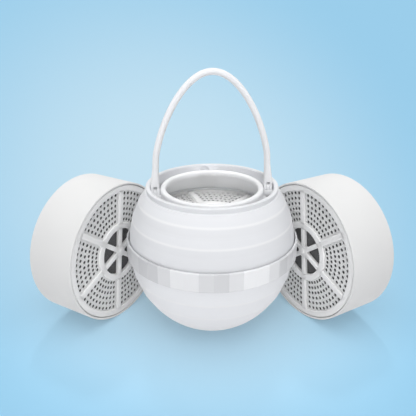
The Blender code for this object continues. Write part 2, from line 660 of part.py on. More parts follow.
def cartridge_meshes(cutters):
    """Each piece of a cartridge: name, mesh, finish, depth of its front face, whether it faces back."""
    seat = GRILLE_THICKNESS + 2 * SEAT_GAP
    front_felt = seat + SEAT_GAP
    granules = front_felt + FELT_THICKNESS + SEAT_GAP
    filling = CARTRIDGE_HEIGHT - 2 * granules
    return [
        ("can", can_mesh(cutters), "cartridge_white", 0.0, False),
        ("front_grille", grille_mesh(True, cutters), "cartridge_white", SEAT_GAP, False),
        ("front_felt", disc_mesh(FELT_THICKNESS, cutters), "felt_grey", front_felt, False),
        ("granules", disc_mesh(filling, cutters), "filter_granules", granules, False),
        ("rear_felt", disc_mesh(FELT_THICKNESS, cutters), "felt_grey", front_felt, True),
        ("rear_grille", grille_mesh(False, cutters), "cartridge_white", SEAT_GAP, True),
    ]


def cartridge(prefix, holder, meshes, parts):
    """One cartridge: its pieces hang on the holder, whose +Z is the way the front face looks."""
    for name, mesh, finish, depth, back in meshes:
        if not mesh.materials:
            mesh.materials.append(material(finish))
        piece = bpy.data.objects.new(f"{prefix}_{name}", mesh)
        parts.objects.link(piece)
        piece.parent = holder
        if back:
            piece.rotation_euler = (math.pi, 0.0, 0.0)
            piece.location = (0.0, 0.0, depth - CARTRIDGE_HEIGHT)
        else:
            piece.location = (0.0, 0.0, -depth)


def spare_place(side):
    """Where a spare's front face lies: on the table, turned in towards the ball, just off the band."""
    normal = Vector((-side * math.sin(SPARE_YAW), -math.cos(SPARE_YAW), 0.0))
    along = Vector((-side * math.cos(SPARE_YAW), math.sin(SPARE_YAW), 0.0))
    centre = -(BAND_RADIUS + SPARE_GAP) * normal - SPARE_SHIFT * along
    centre.z = CARTRIDGE_RADIUS
    turn = Matrix.Rotation(SET_TURN, 4, "Z")
    face = Matrix((along, Vector((0, 0, 1)), normal)).transposed()
    if face.determinant() < 0:
        face = Matrix((-along, Vector((0, 0, 1)), normal)).transposed()
    # A spoke stands upright in the face, a little off the vertical.
    roll = Matrix.Rotation(math.pi / 2 - side * SPARE_ROLL, 4, "Z")
    return turn @ Matrix.Translation(centre) @ face.to_4x4() @ roll


def holder(name, place, parts):
    empty = bpy.data.objects.new(name, None)
    parts.objects.link(empty)
    empty.matrix_world = place
    return empty


def main():
    clear_scene()
    parts = collection("bath_ball_filter")
    cutters = collection("cutters")

    lower_shell(parts, cutters)
    outlet_rose(parts, cutters)
    chrome_band(parts)
    closure_seal(parts)
    upper_shell(parts, cutters)
    inlet_funnel(parts, cutters)
    funnel_seal(parts)
    for side in (-1, 1):
        pivot_pin(side, parts)

    pivot = holder("loop_pivot", Matrix.Translation((0, 0, PIVOT_Z)), parts)
    hanging_loop(parts, cutters).parent = pivot

    meshes = cartridge_meshes(cutters)
    seat = Matrix.Translation((0, 0, CARTRIDGE_TOP)) @ Matrix.Rotation(CARTRIDGE_TURN, 4, "Z")
    cartridge("inner", holder("inner_place", seat, parts), meshes, parts)
    cartridge("left", holder("left_place", spare_place(-1), parts), meshes, parts)
    cartridge("right", holder("right_place", spare_place(1), parts), meshes, parts)
    bpy.context.view_layer.update()


main()
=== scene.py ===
"""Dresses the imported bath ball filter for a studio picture.

The ball, its hanging loop and the filter cartridges are built as smooth surfaces in the part's own
frame: metres, origin at the middle of the ball's foot, +Z up, +X along the pivots of the loop.
"""

import logging
import math
from collections.abc import Callable, Iterable, Sequence
from dataclasses import dataclass
from enum import Enum

import bmesh
import bpy
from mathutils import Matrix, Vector
import numpy as np


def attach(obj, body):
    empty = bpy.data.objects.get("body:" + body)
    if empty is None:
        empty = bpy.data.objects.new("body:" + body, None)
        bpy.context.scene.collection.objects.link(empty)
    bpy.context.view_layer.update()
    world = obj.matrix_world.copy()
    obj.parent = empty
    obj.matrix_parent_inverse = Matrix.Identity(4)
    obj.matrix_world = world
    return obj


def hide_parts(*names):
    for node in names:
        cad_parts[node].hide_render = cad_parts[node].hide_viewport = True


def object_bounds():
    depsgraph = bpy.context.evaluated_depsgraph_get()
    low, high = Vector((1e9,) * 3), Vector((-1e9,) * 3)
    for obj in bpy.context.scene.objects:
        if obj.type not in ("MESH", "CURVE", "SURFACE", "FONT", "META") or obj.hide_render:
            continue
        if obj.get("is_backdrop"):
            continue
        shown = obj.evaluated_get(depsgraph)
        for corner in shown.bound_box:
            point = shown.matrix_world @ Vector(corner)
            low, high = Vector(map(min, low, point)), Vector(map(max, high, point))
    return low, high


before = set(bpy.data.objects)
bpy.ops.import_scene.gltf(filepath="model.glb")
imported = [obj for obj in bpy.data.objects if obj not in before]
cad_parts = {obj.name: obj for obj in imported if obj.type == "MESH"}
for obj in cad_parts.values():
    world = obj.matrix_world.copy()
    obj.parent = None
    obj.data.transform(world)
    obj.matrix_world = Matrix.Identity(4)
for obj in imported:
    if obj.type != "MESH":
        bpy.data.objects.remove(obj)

LOG = logging.getLogger("bath_ball_filter")
MM = 0.001
TAU = 2 * math.pi
VIEW_TURN = math.radians(-7.4)  # How far the camera, the lamps and the spares stand turned about Z.
Colour = tuple[float, float, float]
Place = tuple[float, float, float]


class Body(Enum):
    """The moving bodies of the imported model."""

    BASE = "base_set"
    LID = "lid"
    LOOP = "loop"


class End(Enum):
    """The two end plates of a cartridge."""

    FRONT = "front"
    REAR = "rear"


# ---- Shader graphs --------------------------------------------------------------------------
def arithmetic(operation: str, reflected: bool = False) -> Callable[["Signal", "Signal | float"], "Signal"]:
    """Makes one of a signal's operators.

    Args:
        operation: The Math node's operation.
        reflected: Whether the signal is the second term, as in 1.0 - signal.

    Returns:
        The operator.
    """

    def operator(self: "Signal", other: "Signal | float") -> "Signal":
        """One Math node on both terms."""
        terms = (other, self) if reflected else (self, other)
        return self.graph.node("ShaderNodeMath", {"operation": operation}, dict(enumerate(terms)))

    return operator


class Signal:
    """A number that changes over a surface: one socket of a graph, with arithmetic."""

    def __init__(self, graph: "Graph", socket: bpy.types.NodeSocket) -> None:
        """Wraps a socket.

        Args:
            graph: The graph that new nodes go into.
            socket: The output that carries the number, colour or vector.
        """
        self.graph = graph
        self.socket = socket

    __add__, __radd__ = arithmetic("ADD"), arithmetic("ADD", True)
    __sub__, __rsub__ = arithmetic("SUBTRACT"), arithmetic("SUBTRACT", True)
    __mul__, __rmul__ = arithmetic("MULTIPLY"), arithmetic("MULTIPLY", True)
    __truediv__, __rtruediv__ = arithmetic("DIVIDE"), arithmetic("DIVIDE", True)

    def bent(self, operation: str, *terms: "Signal | float") -> "Signal":
        """The result of any other Math operation on this number and the terms."""
        return self.graph.node("ShaderNodeMath", {"operation": operation}, dict(enumerate((self, *terms))))

    def ramp(self, low: float, high: float, start: float = 0.0, end: float = 1.0) -> "Signal":
        """Eases the number from one range to another.

        Args:
            low: Value that gives start.
            high: Value that gives end.
            start: Result at low and below.
            end: Result at high and above.

        Returns:
            The eased number.
        """
        return self.graph.node(
            "ShaderNodeMapRange",
            {"interpolation_type": "SMOOTHSTEP"},
            {"Value": self, "From Min": low, "From Max": high, "To Min": start, "To Max": end},
        )


class Graph:
    """The nodes of one material, or of the world."""

    def __init__(self, owner: bpy.types.Material | bpy.types.World) -> None:
        """Starts from the owner's own nodes.

        Args:
            owner: The new material or world.
        """
        owner.use_nodes = True
        self.owner = owner
        self.tree = owner.node_tree

    def node(
        self,
        kind: str,
        settings: dict[str, object] | None = None,
        inputs: dict[str | int, object] | None = None,
        output: str | int = 0,
    ) -> Signal:
        """Adds one node of any type.

        Args:
            kind: The node's type.
            settings: Its properties, which are set first.
            inputs: Values or signals for its sockets, by name or number.
            output: The socket to return.

        Returns:
            That output as a signal.
        """
        made = self.tree.nodes.new(kind)
        for key, value in (settings or {}).items():
            setattr(made, key, value)
        for key, value in (inputs or {}).items():
            self.feed(made.inputs[key], value)
        return Signal(self, made.outputs[output])

    def feed(self, socket: bpy.types.NodeSocket, value: object) -> None:
        """Links a signal to a socket, or sets the socket's own value: a colour gets its alpha."""
        if isinstance(value, Signal):
            self.tree.links.new(value.socket, socket)
        else:
            socket.default_value = (*value, 1.0) if socket.type == "RGBA" else value

    def show(self, shader: Signal) -> None:
        """Links a shader to the output."""
        output = next(node for node in self.tree.nodes if node.type.startswith("OUTPUT"))
        self.feed(output.inputs["Surface"], shader)

    def place(self) -> Signal:
        """Object coordinates, in metres."""
        return self.node("ShaderNodeTexCoord", output="Object")

    def axes(self) -> list[Signal]:
        """The three object coordinates, each as a number."""
        split = self.node("ShaderNodeSeparateXYZ", inputs={0: self.place()})
        return [Signal(self, socket) for socket in split.socket.node.outputs]

    def noise(self, size_mm: float, detail: float = 3.0, stretch: Sequence[float] = (1, 1, 1)) -> Signal:
        """Cloudy noise from 0 to 1.

        Args:
            size_mm: Rough size of its blots.
            detail: Octaves.
            stretch: How much finer it is along each axis.

        Returns:
            The noise.
        """
        mapped = self.node("ShaderNodeMapping", inputs={"Vector": self.place(), "Scale": tuple(stretch)})
        values = {"Vector": mapped, "Scale": 1.0 / (size_mm * MM), "Detail": detail}
        return self.node("ShaderNodeTexNoise", inputs=values)

    def cells(self, size_mm: float, output: str = "Distance") -> Signal:
        """Voronoi cells of about this size: the distance from a cell's middle, or its own colour."""
        values = {"Vector": self.place(), "Scale": 1.0 / (size_mm * MM)}
        return self.node("ShaderNodeTexVoronoi", {"feature": "F1"}, values, output)

    def mix(self, first: Colour | Signal, second: Colour | Signal, share: Signal | float) -> Signal:
        """A colour between two, by a share from 0 to 1."""
        return self.node("ShaderNodeMix", {"data_type": "RGBA"}, {0: share, 6: first, 7: second}, 2)

    def bump(self, height: Signal, depth_mm: float, strength: float = 1.0) -> None:
        """Raises the surface by a height from 0 to 1.

        Args:
            height: The relief.
            depth_mm: Real depth of the relief.
            strength: How much of it shows.
        """
        values = {"Height": height, "Distance": depth_mm * MM, "Strength": strength}
        self.set(Normal=self.node("ShaderNodeBump", inputs=values))

    def set(self, **values: object) -> None:
        """Feeds the Principled shader's sockets; an underscore in a name stands for a space."""
        for key, value in values.items():
            self.feed(self.tree.nodes["Principled BSDF"].inputs[key.replace("_", " ")], value)


# ---- Finishes -------------------------------------------------------------------------------
@dataclass(frozen=True)
class Finish:
    """A finish: its name, the record's slot, and how its material is made."""

    name: str
    slot: str

    def dress(self, graph: Graph) -> None:
        """Sets the graph's shader."""
        raise NotImplementedError

    def material(self) -> bpy.types.Material:
        """The finish's material, made once."""
        made = bpy.data.materials.get(self.name)
        if made is None:
            made = bpy.data.materials.new(self.name)
            self.dress(Graph(made))
        return made


@dataclass(frozen=True)
class MouldedPlastic(Finish):
    """Opaque moulded plastic: faint clouding, uneven gloss, the mould's fine grain and painted highlight
    lines.
    """

    colour: Colour
    cloud: float
    roughness: tuple[float, float] = (0.42, 0.48)
    grain_mm: float = 0.5
    grain_depth_mm: float = 0.0006
    grain_strength: float = 0.6
    glow: float = 0.0
    glow_depth: float = 4.0
    # Heights of painted highlight lines: paler bands that stand in for the light a ridge catches.
    edges: tuple[float, ...] = ()
    highlight_width: float = 1.3
    highlight_colour: Colour = (0.985, 0.985, 0.99)
    highlight_share: float = 0.55

    def dress(self, graph: Graph) -> None:
        """Clouding and painted highlight lines in the colour, smudges in the gloss, grain in the relief.

        The colour is darker by the cloud's depth in places. At each edge's height it turns paler, a painted
        highlight along the ridge, by a share that eases out over the line's width:
        share * (1 - ease(|z - edge| / width)).

        Args:
            graph: The material's nodes.
        """
        clouded = tuple(part - self.cloud for part in self.colour)
        base = graph.mix(self.colour, clouded, graph.noise(30.0, 2.0).ramp(0.3, 0.75))
        # Painted highlight lines: paler colour at each ridge's height.
        if self.edges:
            z, width = graph.axes()[2], self.highlight_width * MM
            highlight_lines = [(z - edge * MM).bent("ABSOLUTE").ramp(0.0, width, 1.0, 0.0) for edge in self.edges]
            base = graph.mix(base, self.highlight_colour, sum(highlight_lines) * self.highlight_share)
        smudge = graph.noise(9.0, 4.0).ramp(0.3, 0.75, *self.roughness)
        graph.set(Base_Color=base, Roughness=smudge, IOR=1.49, Subsurface_Weight=self.glow)
        graph.set(Subsurface_Radius=(1.0, 1.0, 1.0), Subsurface_Scale=self.glow_depth * MM)
        graph.bump(graph.noise(self.grain_mm, 2.0), self.grain_depth_mm, self.grain_strength)


@dataclass(frozen=True)
class PlatedBand(Finish):
    """Satin plating on flat facets; each facet takes a tone of its own, a painted reflection of the studio.
    """

    # colour and shade: the bright and dark ends of the painted reflection tones.
    colour: Colour
    shade: Colour
    facets: int
    turn: float
    reflection_waves: int = 8
    reflection_wave_start: float = 2.4
    reflection_wave_depth: float = 0.35
    reflection_sway_depth: float = 0.3
    smear_share: float = 0.15
    metal: float = 0.6
    roughness: tuple[float, float] = (0.38, 0.42)

    def dress(self, graph: Graph) -> None:
        """Facet number from the angle round Z, a painted reflection tone from two waves of that number, and
        faint smears.

        The waves run eight times and once round the band, so that they meet behind:
        tone = 0.5 + wave cos(8 (n - start) step) + sway sin(n step), for n the facet's number.

        Args:
            graph: The material's nodes.
        """
        x, y, _ = graph.axes()
        step = TAU / self.facets
        number = ((y.bent("ARCTAN2", x) - self.turn) / step).bent("FLOOR")
        reflection_wave = ((number - self.reflection_wave_start) * (self.reflection_waves * step)).bent("COSINE") * self.reflection_wave_depth
        # tone: each facet's painted reflection.
        tone = reflection_wave + (number * step).bent("SINE") * self.reflection_sway_depth + 0.5
        smear = graph.noise(14.0, 3.0)
        share = tone * (1 - self.smear_share) + smear * self.smear_share
        graph.set(Base_Color=graph.mix(self.shade, self.colour, share), Metallic=self.metal)
        graph.set(Roughness=smear.ramp(0.3, 0.8, *self.roughness))


@dataclass(frozen=True)
class Felt(Finish):
    """Pressed felt: short fibres that cross, with light flecks."""

    colour: Colour
    fleck: Colour
    fibre_mm: float = 0.5
    fleck_mm: float = 1.3
    fleck_share: float = 0.3
    roughness: tuple[float, float] = (0.98, 0.86)
    relief_mm: float = 0.25

    def dress(self, graph: Graph) -> None:
        """Two sets of stretched noise for the fibres, and cells for the flecks.

        Args:
            graph: The material's nodes.
        """
        crossed = graph.noise(self.fibre_mm, 3.0, (5.0, 1.0, 2.0))
        fibre = graph.noise(self.fibre_mm, 3.0, (1.0, 6.0, 2.0)).bent("MAXIMUM", crossed)
        fleck = 1.0 - graph.cells(self.fleck_mm).ramp(0.05, 0.45)
        share = (fibre.ramp(0.45, 0.8) + fleck * self.fleck_share) * 0.6
        graph.set(Base_Color=graph.mix(self.colour, self.fleck, share))
        graph.set(Roughness=fibre.ramp(0.3, 0.8, *self.roughness), Sheen_Weight=0.05, Sheen_Roughness=0.6)
        graph.bump(fibre + fleck * 0.5, self.relief_mm)


@dataclass(frozen=True)
class Beads(Finish):
    """A bed of small mineral beads."""

    colour: Colour
    light: Colour
    bead_mm: float = 2.6
    dust_mm: float = 1.2
    roughness: tuple[float, float] = (0.6, 0.85)
    relief_mm: float = 1.0

    def dress(self, graph: Graph) -> None:
        """Rounded cells, each with a tone from the grey of its own colour, and dust in the gloss.

        Args:
            graph: The material's nodes.
        """
        tone = graph.cells(self.bead_mm, "Color").ramp(0.2, 0.9)
        dust = graph.noise(self.dust_mm).ramp(0.3, 0.7, *self.roughness)
        graph.set(Base_Color=graph.mix(self.colour, self.light, tone), Roughness=dust)
        graph.bump(1.0 - graph.cells(self.bead_mm), self.relief_mm)


@dataclass(frozen=True)
class Silicone(Finish):
    """Soft grey seal with a dusty skin."""

    colour: Colour
    dust: Colour
    dust_mm: float = 3.0
    roughness: tuple[float, float] = (0.42, 0.62)
    glow: float = 0.1
    skin_mm: float = 0.3
    relief_mm: float = 0.02

    def dress(self, graph: Graph) -> None:
        """Dust clouds over an even grey, and a fine matt skin.

        Args:
            graph: The material's nodes.
        """
        dust = graph.noise(self.dust_mm, 4.0)
        graph.set(Base_Color=graph.mix(self.colour, self.dust, dust.ramp(0.45, 0.8)))
        graph.set(Roughness=dust.ramp(0.3, 0.8, *self.roughness), Subsurface_Weight=self.glow)
        graph.bump(graph.noise(self.skin_mm), self.relief_mm)


@dataclass(frozen=True)
class TurnedSteel(Finish):
    """Bright steel with the rings a lathe leaves along X."""

    colour: Colour
    shade: Colour
    ring_mm: float = 0.18
    wear_mm: float = 0.8
    roughness: tuple[float, float] = (0.22, 0.36)
    relief_mm: float = 0.01

    def dress(self, graph: Graph) -> None:
        """Wear in the tone, and fine rings along X, (1 + sin(2 pi x / ring)) / 2, in gloss and relief.

        Args:
            graph: The material's nodes.
        """
        rings = (graph.axes()[0] * (TAU / (self.ring_mm * MM))).bent("SINE") * 0.5 + 0.5
        wear = graph.noise(self.wear_mm)
        graph.set(Base_Color=graph.mix(self.shade, self.colour, wear), Metallic=1.0)
        graph.set(Roughness=(rings * 0.5 + wear * 0.5).ramp(0.2, 0.8, *self.roughness))
        graph.bump(rings, self.relief_mm)


# SHELL_WHITE, BOWL_WHITE and FUNNEL_WHITE are one white plastic in three tones: painted shade on the upper
# shell, painted light on the bowl and inside the funnel. Their edges are painted highlight lines at the
# ridges.
SHELL_WHITE = MouldedPlastic(
    "gloss_shell", "shell_white", (0.825, 0.834, 0.858), cloud=0.003, edges=(96.3, 84.2)
)
BOWL_WHITE = MouldedPlastic(
    "gloss_bowl", "shell_white", (0.94, 0.948, 0.97), cloud=0.003, edges=(44.4, 31.8)
)
FUNNEL_WHITE = MouldedPlastic("gloss_funnel", "shell_white", (0.9, 0.906, 0.922), cloud=0.005, glow=0.6)
# PLATE_WHITE and CARTRIDGE_WHITE are one white plastic in two tones: painted light on the end plates,
# painted shade on the cans' sides.
PLATE_WHITE = MouldedPlastic(
    "satin_plate", "cartridge_white", (0.955, 0.955, 0.95), cloud=0.01, roughness=(0.38, 0.52),
    grain_mm=0.4, grain_depth_mm=0.001, glow=0.5,
)
LOOP_WHITE = MouldedPlastic(
    "soft_loop", "loop_white", (0.915, 0.919, 0.934), cloud=0.007, roughness=(0.3, 0.42),
    grain_mm=0.35, grain_depth_mm=0.0008,
)
CARTRIDGE_WHITE = MouldedPlastic(
    "satin_cartridge", "cartridge_white", (0.785, 0.785, 0.781), cloud=0.007, roughness=(0.38, 0.52),
    grain_mm=0.4, grain_depth_mm=0.001,
)
BAND_FACETS = 40
BAND_TURN = math.radians(-96.4)
BAND_CHROME = PlatedBand(
    "faceted_plating", "band_chrome", (0.98, 0.985, 1.0), (0.66, 0.665, 0.685), BAND_FACETS, BAND_TURN
)
FELT_GREY = Felt("pressed_felt", "felt_grey", (0.075, 0.076, 0.078), (0.2, 0.2, 0.205))
GRANULES = Beads("mineral_beads", "filter_granules", (0.09, 0.08, 0.07), (0.32, 0.28, 0.24))
SEAL_GREY = Silicone("seal_skin", "seal_silicone", (0.6, 0.61, 0.62), (0.7, 0.7, 0.71))
# SEAL_PALE is a paler copy of the seal silicone: painted light on the funnel seal's shaded inner face.
SEAL_PALE = Silicone("pale_seal_skin", "seal_silicone", (0.8, 0.8, 0.8), (0.84, 0.84, 0.84))
PIN_STEEL = TurnedSteel("turned_pin", "pin_steel", (0.66, 0.66, 0.67), (0.5, 0.5, 0.51))


# ---- Surfaces -------------------------------------------------------------------------------
@dataclass
class Shape:
    """Points of a surface in millimetres, and its faces as rows of four point numbers.

    A triangle repeats its last point number.
    """

    points: np.ndarray
    faces: np.ndarray

    def placed(self, matrix: np.ndarray) -> "Shape":
        """The same shape under a 4 by 4 matrix, in millimetres."""
        return Shape(self.points @ matrix[:3, :3].T + matrix[:3, 3], self.faces)

    def stood(self, x: float = 0.0) -> "Shape":
        """The same shape with its own X, Y and Z along Y, Z and X, moved by x along X."""
        return Shape(self.points[:, [2, 0, 1]] + (x, 0, 0), self.faces)

    @staticmethod
    def joined(shapes: Iterable["Shape"]) -> "Shape":
        """Several shapes as one.

        Args:
            shapes: The shapes, whose points and faces follow each other in this order.

        Returns:
            The whole.
        """
        parts = list(shapes)
        starts = np.cumsum([0] + [len(part.points) for part in parts[:-1]])
        return Shape(
            np.vstack([part.points for part in parts]),
            np.vstack([part.faces + start for part, start in zip(parts, starts)]),
        )


def grid_faces(rows: int, columns: int, wrap_rows: bool, wrap_columns: bool) -> np.ndarray:
    """Quads between the points of a grid, which is numbered row by row.

    Args:
        rows: Number of rows.
        columns: Number of columns.
        wrap_rows: Whether the last row meets the first.
        wrap_columns: Whether the last column meets the first.

    Returns:
        Rows of four point numbers.
    """
    row = np.arange(rows if wrap_rows else rows - 1)
    column = np.arange(columns if wrap_columns else columns - 1)
    a, b = np.meshgrid(row, column, indexing="ij")
    c, d = (a + 1) % rows, (b + 1) % columns
    return np.stack([a * columns + b, c * columns + b, c * columns + d, a * columns + d], -1).reshape(-1, 4)


def tube_faces(rings: int, around: int) -> np.ndarray:
    """Faces of a stack of rings that is closed by a fan to one point at each end.

    Args:
        rings: Number of rings.
        around: Points round each.

    Returns:
        Rows of four point numbers. The first ring's end point comes after the rings, then the last's.
    """
    i = np.arange(around)
    j = (i + 1) % around
    last, ends = (rings - 1) * around, np.full(around, rings * around)
    first_fan = np.stack([ends, i, j, j], 1)
    last_fan = np.stack([ends + 1, j + last, i + last, i + last], 1)
    return np.vstack([grid_faces(rings, around, False, True), first_fan, last_fan])


def rounded(corners: Sequence[tuple[float, float, float]], steps: int = 5) -> np.ndarray:
    """A chain of corners with rounded turns.

    Each corner gives way to a quadratic curve that leaves its two sides at the corner's own radius, or
    at just under half of a shorter side: (1-s)^2 A + 2s(1-s) B + s^2 C.

    Args:
        corners: Radius from the axis, height and rounding of each corner, as a closed outline.
        steps: Points on each curve.

    Returns:
        The outline's points.
    """
    table = np.array(corners, float)
    corner, size = table[:, :2], table[:, 2]
    before, after = np.roll(corner, 1, 0) - corner, np.roll(corner, -1, 0) - corner
    room_before, room_after = np.linalg.norm(before, axis=1), np.linalg.norm(after, axis=1)
    reach = np.minimum(size, 0.49 * np.minimum(room_before, room_after))
    start = corner + before * (reach / np.maximum(room_before, 1e-9))[:, None]
    end = corner + after * (reach / np.maximum(room_after, 1e-9))[:, None]
    s = np.linspace(0, 1, steps)[None, :, None]
    curve = (1 - s) ** 2 * start[:, None] + 2 * s * (1 - s) * corner[:, None] + s**2 * end[:, None]
    return curve.reshape(-1, 2)


def revolve(outline: np.ndarray, turns: int | np.ndarray = 144) -> Shape:
    """A closed outline of radius and height turned about Z: (r cos a, r sin a, z).

    Args:
        outline: The outline's points.
        turns: How many even steps round, or the angles themselves.

    Returns:
        The ring.
    """
    angle = np.arange(turns) * TAU / turns if isinstance(turns, int) else turns
    r, z = outline[:, 0], outline[:, 1]
    points = np.stack(
        [np.outer(np.cos(angle), r), np.outer(np.sin(angle), r), np.outer(np.ones_like(angle), z)], -1
    )
    return Shape(points.reshape(-1, 3), grid_faces(len(angle), len(r), True, True))


def slab(outline: np.ndarray, low: float, high: float, rounding: float = 0.3, steps: int = 4) -> Shape:
    """A flat plate with rounded edges, from a closed outline that can be seen whole from its middle.

    Rings of the outline climb from the underside to the top. Near each side they draw in towards the
    middle by a quarter circle: inset = rounding (1 - sin t), height = rounding (1 - cos t).

    Args:
        outline: Points of the outline, (n, 2).
        low: Height of the underside.
        high: Height of the top.
        rounding: Radius of the edges.
        steps: Rings on each rounded edge.

    Returns:
        The closed plate.
    """
    t = np.linspace(0, math.pi / 2, steps)
    drawn_in, risen = rounding * (1 - np.sin(t)), rounding * (1 - np.cos(t))
    inset = np.concatenate([drawn_in, drawn_in[::-1]])
    height = np.concatenate([low + risen, (high - risen)[::-1]])
    side = np.roll(outline, -1, 0) - np.roll(outline, 1, 0)
    length = np.maximum(np.linalg.norm(side, axis=1), 1e-9)
    inward = np.stack([-side[:, 1], side[:, 0]], 1) / length[:, None]
    middle = outline.mean(0)
    if np.sum((middle - outline) * inward) < 0:
        inward = -inward
    rings = outline[None] + inward[None] * inset[:, None, None]
    count = len(outline)
    points = np.concatenate([rings, np.broadcast_to(height[:, None, None], (len(height), count, 1))], -1)
    points = np.vstack([points.reshape(-1, 3), [[*middle, low], [*middle, high]]])
    return Shape(points, tube_faces(len(height), count))


def sweep(
    path: np.ndarray, side: np.ndarray, widths: np.ndarray, power: np.ndarray, around: int = 28
) -> Shape:
    """A tube along a path in the XZ plane, with domed ends.

    A point of the section is (sign(c)|c|^(2/p) w, sign(s)|s|^(2/p) h) for c and s the cosine and sine of
    its angle: round for p = 2 and squarer for more. The section stands across the path.

    Args:
        path: Centre line, (n, 3).
        side: Unit normals in the path's plane, (n, 3).
        widths: Half widths in the plane and along Y, (n, 2).
        power: The section's power, (n,).
        around: Points round the section.

    Returns:
        The closed tube.
    """
    angle = np.arange(around) * TAU / around
    c, s = np.cos(angle)[None], np.sin(angle)[None]
    exponent = (2.0 / power)[:, None]
    across = np.sign(c) * np.abs(c) ** exponent * widths[:, :1]
    along_y = np.sign(s) * np.abs(s) ** exponent * widths[:, 1:]
    y_axis = np.array([0.0, 1.0, 0.0])
    rings = path[:, None] + side[:, None] * across[..., None] + y_axis * along_y[..., None]
    points = np.vstack([rings.reshape(-1, 3), path[:1], path[-1:]])
    return Shape(points, tube_faces(len(path), around))


def perforated(
    radii: Sequence[float], counts: Sequence[int], reaches: Sequence[float], edges: tuple[float, float],
    sectors: int, hole: float, low: float, high: float,
) -> Shape:
    """A round plate with rows of holes in each of its sectors.

    Each hole sits in a cell of its own, as wide as the holes' pitch. Sixteen points on the cell's outline
    (angle +-a, radius from the row's inner to its outer edge) each pair with the point of the hole that
    lies the same way from its middle, and the pairs carry on down the hole's wall and out underneath.

    Args:
        radii: Radius of each row, from the outside inwards.
        counts: Holes of each row in one sector.
        reaches: Angle from a sector's middle to its outermost hole, for each row.
        edges: Outer and inner radius of the plate.
        sectors: Number of sectors.
        hole: Radius of a hole.
        low: Height of the underside.
        high: Height of the top.

    Returns:
        The plate.
    """
    overlap = 1.01  # Cells reach into their neighbours by this factor, so that no seam stays open.
    row_edges = np.array([edges[0], *((np.array(radii[1:]) + np.array(radii[:-1])) / 2), edges[1]])
    middle, spread = (np.arange(sectors) + 0.5) * TAU / sectors, []
    for radius, count, reach, outer, inner in zip(radii, counts, reaches, row_edges, row_edges[1:]):
        half = reach / max(count - 1, 1)
        angle = (middle[:, None] + np.linspace(-reach, reach, count)[None]).ravel()
        spread.append(np.stack(np.broadcast_arrays(angle, radius, half, outer, inner), 1))
    angle, radius, half, outer, inner = np.vstack(spread).T[..., None]
    u = np.linspace(-1, 1, 5)[:-1]
    one = np.ones_like(u)
    square = np.vstack([np.stack(p, 1) for p in ((one, u), (-u, one), (-one, -u), (u, -one))])[None]
    across = square[..., 0] * half * overlap
    up = square[..., 1]
    out = np.where(up > 0, up * (outer - radius), -up * (inner - radius)) * overlap
    way = np.arctan2(out, across * radius)
    cell_edge = (angle + across, radius + out)
    hole_edge = (angle + hole * np.cos(way) / radius, radius + hole * np.sin(way))
    levels = ((cell_edge, high), (hole_edge, high), (hole_edge, low), (cell_edge, low))
    cells = np.stack([np.stack([r * np.cos(a), r * np.sin(a), r * 0 + z], -1) for (a, r), z in levels], 1)
    each = grid_faces(4, 16, False, True)[None] + (np.arange(len(angle)) * 64)[:, None, None]
    shapes = [Shape(cells.reshape(-1, 3), each.reshape(-1, 4))]
    for count, reach, outer, inner in zip(counts, reaches, row_edges, row_edges[1:]):
        # The plain strips between the sectors, under the spokes.
        gap = math.pi / sectors - reach - reach / max(count - 1, 1)
        step = np.linspace(-gap, gap, 4) * 1.05
        spoke = np.arange(sectors)[:, None] * TAU / sectors + step[None]
        strip = np.stack([np.stack([r * np.cos(spoke), r * np.sin(spoke)], -1) for r in (inner, outer)], 1)
        for z in (high, low):
            points = np.concatenate([strip, np.full((*strip.shape[:-1], 1), z)], -1).reshape(-1, 3)
            faces = grid_faces(2, 4, False, False)[None] + (np.arange(sectors) * 8)[:, None, None]
            shapes.append(Shape(points, faces.reshape(-1, 4)))
    return Shape.joined(shapes)


def turn_about_z(angle: float, height: float = 0.0) -> np.ndarray:
    """A 4 by 4 matrix that turns about Z and lifts."""
    c, s = math.cos(angle), math.sin(angle)
    return np.array([[c, -s, 0, 0], [s, c, 0, 0], [0, 0, 1, height], [0, 0, 0, 1.0]])


def make_object(
    name: str, shape: Shape, material: bpy.types.Material, closed: bool = True
) -> bpy.types.Object:
    """Makes an object from a shape, with points that coincide merged.

    Args:
        name: The object's name.
        shape: Its surface, in millimetres in the part's frame.
        material: Its material.
        closed: Whether it is made of closed bodies, whose faces are then turned outwards.

    Returns:
        The object.
    """
    mesh = bpy.data.meshes.new(name)
    rows = [row[:3] if row[2] == row[3] else row for row in shape.faces.tolist()]
    mesh.from_pydata((shape.points * MM).tolist(), [], rows)
    tidy = bmesh.new()
    tidy.from_mesh(mesh)
    bmesh.ops.remove_doubles(tidy, verts=tidy.verts, dist=2e-6)
    bmesh.ops.dissolve_degenerate(tidy, edges=tidy.edges, dist=1e-7)
    if closed:
        bmesh.ops.recalc_face_normals(tidy, faces=tidy.faces)
    tidy.to_mesh(mesh)
    tidy.free()
    mesh.materials.append(material)
    made = bpy.data.objects.new(name, mesh)
    bpy.context.scene.collection.objects.link(made)
    return made


def add_piece(
    name: str, shape: Shape, finish: Finish, body: Body, stands_for: str, crease: float = 32.0
) -> None:
    """Makes a piece, dresses it and hangs it on its body.

    Args:
        name: The piece's name.
        shape: Its surface, in millimetres in the part's frame.
        finish: Its finish.
        body: The body it moves with.
        stands_for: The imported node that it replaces.
        crease: Angle in degrees past which an edge stays sharp.
    """
    piece = make_object(name, shape, finish.material())
    piece.data.shade_smooth()
    piece.data.set_sharp_from_angle(angle=math.radians(crease))
    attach(piece, body.value)
    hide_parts(stands_for)
    counts = len(piece.data.vertices), len(piece.data.polygons)
    LOG.info("%s: %d points, %d faces, on %s", name, *counts, body.value)


def dress_node(name: str, finish: Finish) -> None:
    """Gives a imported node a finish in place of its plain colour.

    Args:
        name: The node's name.
        finish: Its finish.
    """
    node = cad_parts[name]
    node.data.materials.clear()
    node.data.materials.append(finish.material())
    LOG.info("%s: packed node with %s", name, finish.name)


